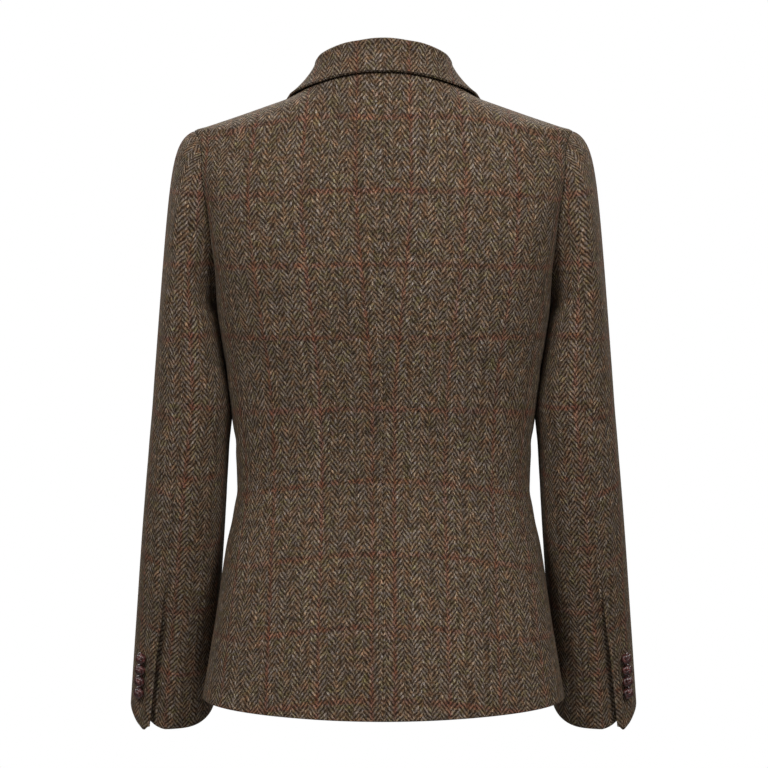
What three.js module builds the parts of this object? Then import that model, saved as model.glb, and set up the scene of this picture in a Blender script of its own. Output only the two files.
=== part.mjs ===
// A tailored women's tweed blazer, filled out as it hangs on a wearer, with nobody in it.
// Units are millimetres. +Z is up, the front faces -Y and the wearer's left is +X.
// The origin is the nape: the middle of the back neck seam, where the collar is set on.
// Every panel is a wall of cloth: an outer grid of points, and an inner one set back by the cloth's thickness.
import * as THREE from "three";

const V = (x, y, z) => new THREE.Vector3(x, y, z);
const radians = THREE.MathUtils.degToRad;
const { lerp, smoothstep } = THREE.MathUtils;

// Cloth and seams
const CLOTH = 2.0; // tweed with its interlining
const COLLAR_CLOTH = 2.4; // two layers of tweed with canvas between
const SEAM_GAP = 0.3;

// The filled-out body, as rings from the hem to the neck seam.
// sideZ, halfWidth and sideY place the ring at the side, backY and backZ at the centre back, frontY and frontZ
// at the centre front. backFull and frontFull say how square each quarter is (2 is an ellipse).
const BODY_COLUMNS = [
  "sideZ", "halfWidth", "sideY", "backY", "backZ", "frontY", "frontZ", "backFull", "frontFull",
];
const BODY_TABLE = [
  [-640, 187.0, -92.0, 36.0, -645, -224, -646, 2.3, 2.3],
  [-600, 180.0, -92.0, 31.5, -602, -223, -602, 2.3, 2.3],
  [-540, 170.6, -91.0, 22.0, -541, -219, -541, 2.3, 2.3],
  [-480, 161.0, -90.0, 10.5, -480, -212, -480, 2.3, 2.3],
  [-455, 155.3, -89.5, 6.0, -455, -209, -455, 2.3, 2.3],
  [-415, 150.6, -88.5, 2.0, -415, -207, -415, 2.3, 2.3],
  [-375, 152.7, -88.0, 4.0, -375, -212, -375, 2.35, 2.3],
  [-340, 157.0, -87.5, 9.0, -340, -221, -340, 2.4, 2.3],
  [-290, 163.5, -87.0, 18.0, -290, -231, -290, 2.5, 2.35],
  [-235, 170.5, -86.0, 26.0, -235, -231, -239, 2.7, 2.4],
  [-202, 173.5, -85.0, 28.0, -202, -222, -213, 2.9, 2.5],
  [-179, 177.5, -82.0, 28.0, -179, -212, -194, 3.0, 2.5],
  [-150, 183.0, -78.0, 27.0, -150, -198, -173, 2.9, 2.5],
  [-122, 188.5, -72.0, 24.5, -122, -183, -152, 2.75, 2.4],
  [-93, 193.5, -66.0, 20.0, -93, -168, -132, 2.3, 2.2],
  [-76, 193.5, -63.8, 17.7, -76, -158.5, -121, 1.98, 2.0],
  [-61, 191.0, -62.0, 15.0, -60, -150, -111, 1.74, 1.81],
  [-55, 176.0, -61.5, 13.3, -52, -146, -104, 1.78, 1.83],
  [-48.3, 156.0, -61.0, 11.2, -42, -141, -97, 1.78, 1.84],
  [-41.5, 136.0, -60.5, 8.8, -32, -136, -90, 1.8, 1.86],
  [-34.5, 116.0, -60.0, 6.2, -22, -132, -84, 1.84, 1.88],
  [-27, 95.0, -59.0, 3.2, -11, -128, -79, 1.9, 1.92],
  [-13, 72.0, -58.0, 0.0, 0, -125, -75, 2.0, 2.0],
];
const HEM_LEVEL = -640;
const UNDERARM_LEVEL = -262; // the last full ring below the armhole
const SHOULDER_LEVEL = -61; // the shoulder point, where the sleeve is set on
const NECK_LEVEL = -13; // the ring of the neck seam
const LOWER_LEVELS = [
  HEM_LEVEL, -612, -594, -570, -540, -510, -480, -450, -415, -385, -360, -338, -315, -290, UNDERARM_LEVEL,
];
const FRONT_HEM_LEVELS = [-637, -632, -624]; // extra rows for the rounded front corner
const SHOULDER_LEVELS = [-55, -48.3, -41.5, -34.5, -27, -20, NECK_LEVEL];

// The armhole, seen from the side: an egg that leans forward towards its bottom.
const ARMHOLE = { topZ: SHOULDER_LEVEL, bottomZ: -235, topY: -62, bottomY: -87, backReach: 46, frontReach: 65 };
const ARMHOLE_POINTS = 28;
// Where the body's seams run into the armhole, in degrees round it from its top, back first
const SIDE_BACK_TOP = 128;
const SIDE_FRONT_TOP = 240;

// Body seams: distance from the centre line at each height
const SIDE_BACK_SEAM = [[-640, 121], [-540, 118], [-415, 112], [-330, 128], [-262, 149]];
const SIDE_FRONT_SEAM = [[-640, 138], [-540, 128], [-415, 112], [-330, 124], [-262, 143]];
const BACK_COLUMNS = 10;
const SIDE_ROWS_TO_ARMHOLE = 3;
const FRONT_COLUMNS = 11;

// The front edge, roll line and lapel, seen from the front. w is the distance from the centre line towards the
// panel's own side, so the overlap is below zero. The wearer's right front lies over the left.
const OVERLAP = 20;
const ROLL_LINE = { breakZ: -338, neckAngle: 128 }; // neckAngle: where it leaves the neck seam, from the centre back
const LAPEL_EDGE = { bow: { w: 62, z: -222 }, tip: { w: 117, z: -112 }, start: 0.07 };
const NOTCH = 0.6; // how far along the lapel's top edge the collar joins it
const HEM_CORNER = 46; // radius of the rounded front corner
const FRONT_SET = { left: -4.2, right: 1.7, near: 22, far: 54 }; // how far each front lies in or out at the overlap
const LAPEL_LIFT = { overlap: 2.8, open: 4.0 }; // visible face of the lapel above its front
const LAPEL_COLUMNS = 8;
const FOLD_STEPS = 4;
const LAPEL_ROW_STEP = 14; // least height between the rows of the lapel

// Sleeve sections, each round the sleeve's own line. tilt is how far the section leans down at the back, in degrees.
const SLEEVE_COLUMNS = ["z", "x", "y", "halfWidth", "halfDepth", "tilt"];
const SLEEVE_TABLE = [
  [-262, 202.1, -86, 28.6, 66.0, 0],
  [-300, 201.1, -86, 32.7, 64.0, 1],
  [-340, 199.0, -88, 38.1, 61.0, 3],
  [-380, 200.4, -92, 40.7, 58.0, 6],
  [-420, 203.2, -98, 41.9, 55.5, 10],
  [-460, 206.6, -107, 42.6, 53.0, 13],
  [-500, 210.2, -118, 43.0, 50.5, 15],
  [-550, 214.7, -134, 43.4, 48.0, 17],
  [-600, 219.3, -150, 43.8, 46.0, 20],
  [-659, 224.2, -168, 44.6, 45.0, 30],
];
const SLEEVE_ROWS = [-262, -300, -340, -380, -405, -421, -437, -455, -472, -500, -530, -568, -612, -659];
const CAP_STEPS = [0.12, 0.26, 0.44, 0.62, 0.8]; // along the sleeve head, from the armhole to the top section
// Sleeve seams. Each runs into the armhole at one of its points, counted from the top, back first.
const HIND_SEAM_POINT = 7;
const FORE_SEAM_POINT = 18;
const HIND_SEAM = [[-659, 20], [-560, 18], [-420, 13], [-300, 4]]; // degrees from the back towards the outside
const FORE_SEAM_AT_CUFF = 214;

// Soft creases of the sleeve, inside the elbow and below the armhole. angle is degrees from the back, by the outside.
const CREASE_COLUMNS = ["z", "angle", "depth", "height", "spread"];
const CREASES = [
  [-330, 300, 1.4, 20, 40],
  [-405, 246, 2.4, 11, 50],
  [-437, 258, 3.0, 12, 56],
  [-472, 240, 2.0, 13, 44],
];

// Collar: a stand that rises from the neck seam, folds over and falls outside.
// height and radius are those of the fold, lean how far it leans in. The fall's edge lies on the body form at
// edgeLevel and edgeAngle.
const COLLAR_COLUMNS = ["angle", "height", "radius", "lean", "edgeLevel", "edgeAngle"];
const COLLAR_TABLE = [
  [0, 29.8, 4.2, 10.0, -28.2, 0],
  [40, 30.5, 4.2, 8.5, -28.1, 40],
  [68, 30.8, 4.2, 6.5, -28.2, 67],
  [90, 26.5, 4.2, 4.5, -28.5, 88],
  [110, 17.0, 3.8, 3.5, -33.0, 103],
  [120, 9.0, 3.4, 1.2, -41.0, 113],
  [128, 3.2, 3.1, 0.0, -50.0, 122],
];
const COLLAR_STATIONS = [0, 13, 26, 39, 52, 65, 77, 88, 98, 107, 115, 122, 128];
const COLLAR_LIFT = 4.4; // visible face of the fall above the body, at its edge
const STAND_STEPS = 3;
const STAND_GAP = 0.75; // the stand's foot keeps clear of the neck edge

// Leather knot buttons
const CUFF_BUTTONS = { radius: 6.4, height: 7, lowZ: -643.5, pitch: 13.2, count: 4, angle: 42 };
const FRONT_BUTTONS = { radius: 10, height: 9, heights: [-352, -452] };

const TWEED = { color: 0x54463a, roughness: 0.95, metalness: 0 };
const LEATHER = { color: 0x2c1613, roughness: 0.35, metalness: 0 };

// Reads a table at a key in its first column, with a smooth curve that doesn't overshoot its rows.
function tableReader(rows) {
  const sorted = [...rows].sort((a, b) => a[0] - b[0]);
  const keys = sorted.map((row) => row[0]);
  const last = keys.length - 1;
  const slopeAt = (i, c) => {
    const step = (n) => (sorted[n + 1][c] - sorted[n][c]) / (keys[n + 1] - keys[n]);
    if (i === 0) return step(0);
    if (i === last) return step(last - 1);
    if (step(i - 1) * step(i) <= 0) return 0;
    const [before, after] = [keys[i] - keys[i - 1], keys[i + 1] - keys[i]];
    const [w0, w1] = [2 * after + before, after + 2 * before];
    return (w0 + w1) / (w0 / step(i - 1) + w1 / step(i));
  };
  const slopes = sorted[0].map((_, c) => keys.map((_, i) => slopeAt(i, c)));
  return (key) => {
    const k = Math.min(Math.max(key, keys[0]), keys[last]);
    let i = 0;
    while (i < last - 1 && k > keys[i + 1]) i++;
    const span = keys[i + 1] - keys[i];
    const t = (k - keys[i]) / span;
    const [t2, t3] = [t * t, t * t * t];
    return sorted[0].map((_, c) => {
      const ends = (2 * t3 - 3 * t2 + 1) * sorted[i][c] + (3 * t2 - 2 * t3) * sorted[i + 1][c];
      return ends + (t3 - 2 * t2 + t) * span * slopes[c][i] + (t3 - t2) * span * slopes[c][i + 1];
    });
  };
}
const named = (columns, values) => Object.fromEntries(columns.map((name, i) => [name, values[i]]));
const readBody = tableReader(BODY_TABLE);
const readSleeve = tableReader(SLEEVE_TABLE);
const readCollar = tableReader(COLLAR_TABLE);

// Halves the span from low to high towards the place where test changes sign.
function solve(low, high, test) {
  const rising = test(high) > 0;
  for (let i = 0; i < 44; i++) {
    const middle = (low + high) / 2;
    if (test(middle) > 0 === rising) high = middle;
    else low = middle;
  }
  return (low + high) / 2;
}

// A point of the body form. angle goes round the ring from the centre back by the wearer's left.
function formPoint(level, angle) {
  const ring = named(BODY_COLUMNS, readBody(level));
  const [across, along] = [Math.sin(angle), Math.cos(angle)];
  const full = along > 0 ? ring.backFull : ring.frontFull;
  const depth = along > 0 ? ring.backY - ring.sideY : ring.sideY - ring.frontY;
  const reach = (Math.abs(along / depth) ** full + Math.abs(across / ring.halfWidth) ** full) ** (-1 / full);
  const endZ = along > 0 ? ring.backZ : ring.frontZ;
  return V(reach * across, ring.sideY + reach * along, lerp(ring.sideZ, endZ, along ** 2));
}

function formNormal(level, angle) {
  const low = Math.max(level - 0.5, HEM_LEVEL);
  const high = Math.min(level + 0.5, NECK_LEVEL);
  const up = formPoint(high, angle).sub(formPoint(low, angle));
  const along = formPoint(level, angle + 0.004).sub(formPoint(level, angle - 0.004));
  return up.cross(along).normalize();
}

// The angle on a ring where the form is x from the centre line, in the back or the front quarter.
const angleAtX = (level, x, back) =>
  solve(back ? 0 : Math.PI * 1.2, Math.PI / 2, (angle) => formPoint(level, angle).x - x);

// The level and angle of the front where it is seen at x and z.
function frontAt(x, z) {
  const level = solve(HEM_LEVEL, NECK_LEVEL, (l) => formPoint(l, angleAtX(l, x, false)).z - z);
  return { level, angle: angleAtX(level, x, false) };
}

// A point of the armhole: its level and angle on the form. turn goes round from the top, back first.
function armholePoint(turn) {
  const share = (1 + Math.cos(turn)) / 2;
  const z = lerp(ARMHOLE.bottomZ, ARMHOLE.topZ, share);
  const reach = Math.sin(turn) > 0 ? ARMHOLE.backReach : ARMHOLE.frontReach;
  const y = lerp(ARMHOLE.bottomY, ARMHOLE.topY, share) + Math.sin(turn) * reach;
  let level = z;
  let angle = Math.PI / 2;
  for (let i = 0; i < 20; i++) {
    angle = solve(0, Math.PI, (a) => y - formPoint(level, a).y);
    level = Math.min(level + z - formPoint(level, angle).z, SHOULDER_LEVEL);
  }
  return { level, angle, point: formPoint(level, angle) };
}

// Turns round the armhole, which take in the two points where body seams run into it.
const TURNS = [[0, SIDE_BACK_TOP], [SIDE_BACK_TOP, SIDE_FRONT_TOP], [SIDE_FRONT_TOP, 360]].flatMap(([from, to]) => {
  const steps = Math.round((ARMHOLE_POINTS * (to - from)) / 360);
  return Array.from({ length: steps }, (_, i) => radians(lerp(from, to, i / steps)));
});
const turnIndex = (degrees) => TURNS.findIndex((turn) => Math.abs(turn - radians(degrees)) < 1e-9);
const [BACK_TOP, FRONT_TOP] = [turnIndex(SIDE_BACK_TOP), turnIndex(SIDE_FRONT_TOP)];

// The way the sleeve leaves the armhole, and how long the handles of its curve are at either end.
function capHandles(turn) {
  const [up, back] = [Math.cos(turn), Math.sin(turn)];
  return {
    outward: V(1, 0.42 * back, -0.32 + 0.24 * up - 0.5 * Math.max(-up, 0)).normalize(),
    start: up > 0 ? lerp(19, 29, up) : lerp(19, 7, -up),
    drop: up > 0 ? lerp(0.6, 0.85, up) : lerp(0.6, 0.35, -up),
  };
}

// The slant that two walls share where they meet at an angle, and the way across the seam.
function mitre(normalA, normalB, along, towardsB) {
  const middle = normalA.clone().add(normalB).normalize();
  const depth = CLOTH / Math.max(middle.dot(normalA), 0.66);
  const across = along.clone().cross(middle).normalize();
  if (across.dot(towardsB) < 0) across.negate();
  return { inset: middle.multiplyScalar(depth), across };
}

// The seam where the sleeve is set on the body.
function armholeSeam() {
  const on = TURNS.map(armholePoint);
  const count = TURNS.length;
  return on.map(({ level, angle, point }, i) => {
    const along = on[(i + 1) % count].point.clone().sub(on[(i + count - 1) % count].point).normalize();
    const bodyNormal = formNormal(Math.min(level, SHOULDER_LEVEL - 2), angle);
    const { outward } = capHandles(TURNS[i]);
    const sleeveNormal = outward.clone().cross(along).normalize();
    if (sleeveNormal.dot(V(0, Math.sin(TURNS[i]), Math.cos(TURNS[i]))) < 0) sleeveNormal.negate();
    return { level, angle, point, ...mitre(bodyNormal, sleeveNormal, along, outward) };
  });
}
const ARMHOLE_SEAM = armholeSeam();

// Distances of the body seams from the centre line, up to the armhole.
const seamReader = (rows, top) =>
  tableReader([...rows, [ARMHOLE_SEAM[top].level, ARMHOLE_SEAM[top].point.x]]);
const readSideBack = seamReader(SIDE_BACK_SEAM, BACK_TOP);
const readSideFront = seamReader(SIDE_FRONT_SEAM, FRONT_TOP);
const sideBackAngle = (level) => angleAtX(level, readSideBack(level)[1], true);
const sideFrontAngle = (level) => angleAtX(level, readSideFront(level)[1], false);

// A panel is a grid of { point, inset }: a point of the outer face, and the way from the inner face to it.
const onForm = (level, angle) => ({
  point: formPoint(level, angle),
  inset: formNormal(level, angle).multiplyScalar(CLOTH),
});

// The body's side of the armhole seam, or the sleeve's.
function onArmhole(index, side) {
  const { point, inset, across } = ARMHOLE_SEAM[index];
  return { point: point.clone().addScaledVector(across, (side * SEAM_GAP) / 2), inset: inset.clone() };
}

const steps = (count) => Array.from({ length: count + 1 }, (_, i) => i / count);
const gridOf = (rows, columns, cell) => rows.map((row, i) => columns.map((column, j) => cell(row, column, i, j)));

// Draws one edge of a grid in by half the seam gap. pick gives the cell and its inner neighbour.
function drawIn(cells, neighbours) {
  const moves = cells.map(({ point }, i) => neighbours[i].point.clone().sub(point).setLength(SEAM_GAP / 2));
  cells.forEach((cell, i) => cell.point.add(moves[i]));
}
const column = (grid, j) => grid.map((row) => row.at(j));
function trim(grid, edges) {
  if (edges.includes("first")) drawIn(column(grid, 0), column(grid, 1));
  if (edges.includes("last")) drawIn(column(grid, -1), column(grid, -2));
  if (edges.includes("top")) drawIn(grid.at(-1), grid.at(-2));
  return grid;
}

// Levels of the seams between the last full ring and the armhole.
const seamLevels = (top) =>
  [1, 2].map((i) => lerp(UNDERARM_LEVEL, ARMHOLE_SEAM[top].level, i / SIDE_ROWS_TO_ARMHOLE));

function backPanel() {
  const fromLevel = (level) => ({ level, edge: sideBackAngle(level) });
  const rows = [
    ...[...LOWER_LEVELS, ...seamLevels(BACK_TOP)].map(fromLevel),
    ...TURNS.slice(0, BACK_TOP + 1).map((_, i) => ({ ...ARMHOLE_SEAM[i], edge: ARMHOLE_SEAM[i].angle, armhole: i })).reverse(),
    ...SHOULDER_LEVELS.map((level) => ({ level, edge: Math.PI / 2 })),
  ];
  return trim(gridOf(rows, steps(BACK_COLUMNS), ({ level, edge, armhole }, share) =>
    share === 1 && armhole !== undefined ? onArmhole(armhole, -1) : onForm(level, edge * share)),
  ["first", "last", "top"]);
}

function sidePanel() {
  const count = FRONT_TOP - BACK_TOP;
  const lower = gridOf(LOWER_LEVELS, steps(count), (level, share) =>
    onForm(level, lerp(sideBackAngle(level), sideFrontAngle(level), share)));
  const baseAngle = (share) => lerp(sideBackAngle(UNDERARM_LEVEL), sideFrontAngle(UNDERARM_LEVEL), share);
  const upper = gridOf([1, 2, 3], steps(count), (row, share, i, j) => {
    if (row === SIDE_ROWS_TO_ARMHOLE) return onArmhole(BACK_TOP + j, -1);
    const rise = row / SIDE_ROWS_TO_ARMHOLE;
    const levelAt = (index) => lerp(UNDERARM_LEVEL, ARMHOLE_SEAM[index].level, rise);
    const angleAt = (index, s) => lerp(baseAngle(s), ARMHOLE_SEAM[index].angle, rise);
    const backError = sideBackAngle(levelAt(BACK_TOP)) - angleAt(BACK_TOP, 0);
    const frontError = sideFrontAngle(levelAt(FRONT_TOP)) - angleAt(FRONT_TOP, 1);
    return onForm(levelAt(BACK_TOP + j), angleAt(BACK_TOP + j, share) + lerp(backError, frontError, share));
  });
  return trim([...lower, ...upper], ["first", "last"]);
}

// The fronts overlap: how far a front lies out from the form at w from the centre line.
const frontSet = (w, side) => FRONT_SET[side] * (1 - smoothstep(w, FRONT_SET.near, FRONT_SET.far));

// The roll line, seen from the front, from the break to the neck seam.
const ROLL_TOP = formPoint(NECK_LEVEL, radians(ROLL_LINE.neckAngle));
const rollShare = (z) => (z - ROLL_LINE.breakZ) / (ROLL_TOP.z - ROLL_LINE.breakZ);
const rollW = (z) => lerp(-OVERLAP, ROLL_TOP.x, Math.max(rollShare(z), 0));

// The front edge below the break: straight, and rounded at the hem.
function edgeW(z) {
  const short = Math.max(HEM_CORNER - (z - formPoint(HEM_LEVEL, Math.PI).z), 0);
  return -OVERLAP + HEM_CORNER - Math.sqrt(HEM_CORNER ** 2 - Math.min(short, HEM_CORNER) ** 2);
}
function frontEdgeAngle(level) {
  if (level === NECK_LEVEL) return radians(ROLL_LINE.neckAngle);
  return solve(Math.PI * 1.2, Math.PI / 2, (angle) => {
    const { x, z } = formPoint(level, angle);
    return x - (z < ROLL_LINE.breakZ ? edgeW(z) : rollW(z));
  });
}

function onFront(level, angle, side, cell = onForm(level, angle)) {
  cell.point.addScaledVector(formNormal(level, angle), frontSet(cell.point.x, side));
  return cell;
}

const FRONT_ROWS = [
  ...[...LOWER_LEVELS, ...FRONT_HEM_LEVELS].sort((a, b) => a - b),
  ...seamLevels(FRONT_TOP),
].map((level) => ({ level, edge: sideFrontAngle(level) }));
FRONT_ROWS.push(...[...TURNS.keys()].slice(FRONT_TOP).map((i) =>
  ({ level: ARMHOLE_SEAM[i].level, edge: ARMHOLE_SEAM[i].angle, armhole: i })));
FRONT_ROWS.push({ level: SHOULDER_LEVEL, edge: Math.PI / 2, armhole: 0 });
FRONT_ROWS.push(...SHOULDER_LEVELS.map((level) => ({ level, edge: Math.PI / 2 })));

function frontPanel(side) {
  const grid = gridOf(FRONT_ROWS, steps(FRONT_COLUMNS), ({ level, edge, armhole }, share) => {
    if (share === 0 && armhole !== undefined) return onArmhole(armhole, -1);
    return onFront(level, lerp(edge, frontEdgeAngle(level), share), side);
  });
  return trim(grid, ["first", "last", "top"]);
}

const bezier = (a, b, c, d, t) =>
  a.clone().multiplyScalar((1 - t) ** 3).addScaledVector(b, 3 * t * (1 - t) ** 2)
    .addScaledVector(c, 3 * t * t * (1 - t)).addScaledVector(d, t ** 3);

// The fold at the roll line: a half circle from the inner face of the front to the visible face of the lapel.
function foldArc({ centre, out, beyond, radius, thickness }) {
  return steps(FOLD_STEPS).map((share) => {
    const turn = Math.PI * share;
    const away = out.clone().multiplyScalar(-Math.cos(turn)).addScaledVector(beyond, Math.sin(turn));
    return { point: centre.clone().addScaledVector(away, radius), inset: away.multiplyScalar(thickness) };
  });
}

// A place on the roll line: its point on the form, the way out and the way beyond the line.
function rollPlace(level, side) {
  const angle = frontEdgeAngle(level);
  const out = formNormal(level, angle);
  const lower = formPoint(level - 1, frontEdgeAngle(level - 1));
  const point = formPoint(level, angle);
  const upLine = point.clone().sub(lower).normalize();
  const beyond = upLine.clone().cross(out).normalize();
  if (beyond.x > 0) beyond.negate();
  const w = point.x;
  return { point: point.clone().addScaledVector(out, frontSet(w, side)), out, beyond, upLine, w, z: point.z };
}

const lapelLift = (w, side) =>
  side === "right" ? LAPEL_LIFT.open : lerp(LAPEL_LIFT.overlap, LAPEL_LIFT.open, smoothstep(w, 20, 50));

// A place seen at w and z, lifted off the front.
function overFront(w, z, side, lift) {
  const { level, angle } = frontAt(w, z);
  const out = formNormal(level, angle);
  return formPoint(level, angle).addScaledVector(out, frontSet(w, side) + lift);
}

// The lapel's outer edge, seen from the front, from the break to the tip.
function lapelEdge(t) {
  const [start, { bow, tip }] = [{ w: -OVERLAP, z: ROLL_LINE.breakZ }, LAPEL_EDGE];
  const at = (a, b, c) => a * (1 - t) ** 2 + b * 2 * t * (1 - t) + c * t * t;
  return { w: at(start.w, bow.w, tip.w), z: at(start.z, bow.z, tip.z) };
}

function lapelRow(level, side) {
  const roll = rollPlace(level, side);
  const t = Math.min(Math.max(rollShare(roll.z), LAPEL_EDGE.start), 1);
  const edge = lapelEdge(t);
  const lift = lapelLift(roll.w, side);
  const radius = (lift + CLOTH) / 2;
  const centre = roll.point.clone().addScaledVector(roll.out, (lift - CLOTH) / 2).addScaledVector(roll.beyond, SEAM_GAP);
  const fold = foldArc({ centre, out: roll.out, beyond: roll.beyond, radius, thickness: CLOTH });
  const leaf = steps(LAPEL_COLUMNS).slice(1).map((share) => {
    const [w, z] = [lerp(roll.w, edge.w, share), lerp(roll.z, edge.z, share)];
    const { level: l, angle } = frontAt(w, z);
    return { point: overFront(w, z, side, lapelLift(w, side)), inset: formNormal(l, angle).multiplyScalar(CLOTH) };
  });
  return [...fold, ...leaf];
}

function lapel(side) {
  const levels = FRONT_ROWS.map(({ level }) => level).filter((level) => level > ROLL_LINE.breakZ);
  const start = ROLL_LINE.breakZ + LAPEL_EDGE.start * (ROLL_TOP.z - ROLL_LINE.breakZ);
  const rows = levels.reduce((kept, level) => {
    if (level === NECK_LEVEL) return [...kept.filter((k) => level - k > LAPEL_ROW_STEP / 2), level];
    return level - kept.at(-1) < LAPEL_ROW_STEP ? kept : [...kept, level];
  }, [start]);
  return trim(rows.map((level) => lapelRow(level, side)), ["top"]);
}

// A station of the collar, at an angle round the neck from the centre back by the wearer's left.
function collarStation(degrees) {
  const { height, radius, lean, edgeLevel, edgeAngle } = named(COLLAR_COLUMNS, readCollar(degrees));
  const angle = radians(degrees);
  const seam = formPoint(NECK_LEVEL, angle);
  const normal = formNormal(NECK_LEVEL, angle);
  const roll = rollPlace(NECK_LEVEL, "left");
  const turned = smoothstep(degrees, 84, ROLL_LINE.neckAngle);
  const rise = V(0, 0, 1).lerp(roll.beyond, turned).normalize();
  const away = V(Math.sin(angle), Math.cos(angle), 0).normalize().lerp(normal, turned);
  away.addScaledVector(rise, -away.dot(rise)).normalize();
  const centre = seam.clone().addScaledVector(rise, height - radius)
    .addScaledVector(away, lerp(radius - COLLAR_CLOTH, (LAPEL_LIFT.open - CLOTH) / 2, turned) - lean);
  const fold = foldArc({ centre, out: away, beyond: rise, radius, thickness: COLLAR_CLOTH });

  const foot = seam.clone().addScaledVector(away, -COLLAR_CLOTH * (1 - turned)).addScaledVector(normal, -COLLAR_CLOTH * turned);
  foot.addScaledVector(rise, STAND_GAP);
  const top = fold[0].point;
  const reach = foot.distanceTo(top) / 3;
  const stand = steps(STAND_STEPS).slice(0, -1).map((share) => {
    const point = bezier(foot, foot.clone().addScaledVector(rise, reach), top.clone().addScaledVector(rise, -reach), top, share);
    return { point, inset: away.clone().multiplyScalar(-COLLAR_CLOTH) };
  });

  const start = fold.at(-1).point;
  const shares = steps(LAPEL_COLUMNS).slice(1);
  const out = formNormal(edgeLevel, radians(edgeAngle));
  const edge = formPoint(edgeLevel, radians(edgeAngle)).addScaledVector(out, COLLAR_LIFT);
  const along = edge.clone().sub(start);
  const inEdge = along.clone().addScaledVector(out, -along.dot(out)).normalize();
  const span = along.length();
  const afterFold = start.clone().addScaledVector(rise, -Math.min(span * 0.36, (height - radius) * 0.6));
  const beforeEdge = edge.clone().addScaledVector(inEdge, -span * 0.3);
  const fallBack = (share) => ({
    point: bezier(start, afterFold, beforeEdge, edge, share),
    inset: away.clone().lerp(out, smoothstep(share, 0, 0.8)).normalize().multiplyScalar(COLLAR_CLOTH),
  });
  return [...stand, ...fold, ...shares.map(fallBack)];
}

// The collar's end: down the gorge to the notch, then out to the collar's own tip.
function collarEnd() {
  const row = collarStation(ROLL_LINE.neckAngle);
  const tip = row.at(-1).point.clone();
  const flat = row.length - LAPEL_COLUMNS;
  const gorge = steps(LAPEL_COLUMNS).slice(1);
  const turnAt = 5; // the leaf column at the notch
  gorge.forEach((_, i) => {
    const column = i + 1;
    const share = Math.min(column / turnAt, 1) * NOTCH;
    const [w, z] = [lerp(ROLL_TOP.x, LAPEL_EDGE.tip.w, share), lerp(ROLL_TOP.z, LAPEL_EDGE.tip.z, share)];
    const { level, angle } = frontAt(w, z);
    const point = overFront(w, z, "right", LAPEL_LIFT.open);
    if (column > turnAt) point.lerp(tip, (column - turnAt) / (LAPEL_COLUMNS - turnAt));
    row[flat + i] = { point, inset: formNormal(level, angle).multiplyScalar(COLLAR_CLOTH) };
  });
  return row;
}

const mirroredCell = ({ point, inset }) => ({
  point: V(-point.x, point.y, point.z),
  inset: V(-inset.x, inset.y, inset.z),
});
const mirrored = (grid) => grid.map((row) => row.map(mirroredCell));

function collar() {
  const left = COLLAR_STATIONS.slice(0, -1).map(collarStation);
  left.push(collarEnd());
  trim(left, ["top"]);
  return [...mirrored(left.slice(1)).reverse(), ...left];
}

// The sleeve, as a full round of columns, one to each point of the armhole.
const homeAngle = (index) => 90 - THREE.MathUtils.radToDeg(TURNS[index]);
const readHindSeam = tableReader([...HIND_SEAM, [SLEEVE_TABLE[0][0], homeAngle(HIND_SEAM_POINT)]]);
const FORE_SEAM_HOME = homeAngle(FORE_SEAM_POINT) + 360;
const readForeSeam = tableReader([[SLEEVE_TABLE[0][0], FORE_SEAM_HOME], [SLEEVE_TABLE.at(-1)[0], FORE_SEAM_AT_CUFF]]);

// The angle of a column at a height: the columns between two seams share out the space between them.
function sleeveAngle(index, z) {
  const [hind, fore] = [readHindSeam(z)[1], readForeSeam(z)[1]];
  const home = homeAngle(index);
  const hindHome = homeAngle(HIND_SEAM_POINT);
  if (index <= HIND_SEAM_POINT) return lerp(hind, fore, (home - hindHome) / (FORE_SEAM_HOME - hindHome));
  if (index >= FORE_SEAM_POINT) return lerp(hind, fore, (home + 360 - hindHome) / (FORE_SEAM_HOME - hindHome)) - 360;
  return lerp(hind, fore - 360, (home - hindHome) / (FORE_SEAM_HOME - 360 - hindHome));
}

function creaseDepth(z, degrees) {
  return CREASES.map((row) => named(CREASE_COLUMNS, row)).reduce((sum, crease) => {
    const away = Math.abs(((((degrees - crease.angle) % 360) + 540) % 360) - 180);
    return sum + crease.depth * Math.exp(-(((z - crease.z) / crease.height) ** 2) - (away / crease.spread) ** 2);
  }, 0);
}

function sleevePoint(z, degrees) {
  const section = named(SLEEVE_COLUMNS, readSleeve(z));
  const angle = radians(degrees);
  const depth = creaseDepth(z, degrees);
  const y = (section.halfDepth - depth) * Math.cos(angle);
  const x = (section.halfWidth - depth) * Math.sin(angle);
  return V(section.x + x, section.y + y, z - y * Math.tan(radians(section.tilt)));
}

function capPoint(index, share) {
  const [top, turn] = [SLEEVE_TABLE[0][0], TURNS[index]];
  const from = onArmhole(index, 1).point;
  const to = sleevePoint(top, sleeveAngle(index, top));
  const { outward, start, drop } = capHandles(turn);
  const upLine = to.clone().sub(sleevePoint(top - 4, sleeveAngle(index, top - 4))).normalize();
  const last = to.clone().addScaledVector(upLine, drop * (from.z - to.z));
  return bezier(from, from.clone().addScaledVector(outward, start), last, to, share);
}

function sleeveRound() {
  const rows = [
    ...[0, ...CAP_STEPS].map((share) => TURNS.map((_, i) => capPoint(i, share))),
    ...SLEEVE_ROWS.map((z) => TURNS.map((_, i) => sleevePoint(z, sleeveAngle(i, z)))),
  ];
  const count = TURNS.length;
  return rows.map((row, i) => row.map((point, j) => {
    if (i === 0) return onArmhole(j, 1);
    const down = rows[Math.min(i + 1, rows.length - 1)][j].clone().sub(rows[i - 1][j]);
    const round = row[(j + 1) % count].clone().sub(row[(j + count - 1) % count]);
    return { point, inset: down.cross(round).normalize().multiplyScalar(CLOTH) };
  }));
}
const SLEEVE_ROUND = sleeveRound();

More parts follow.
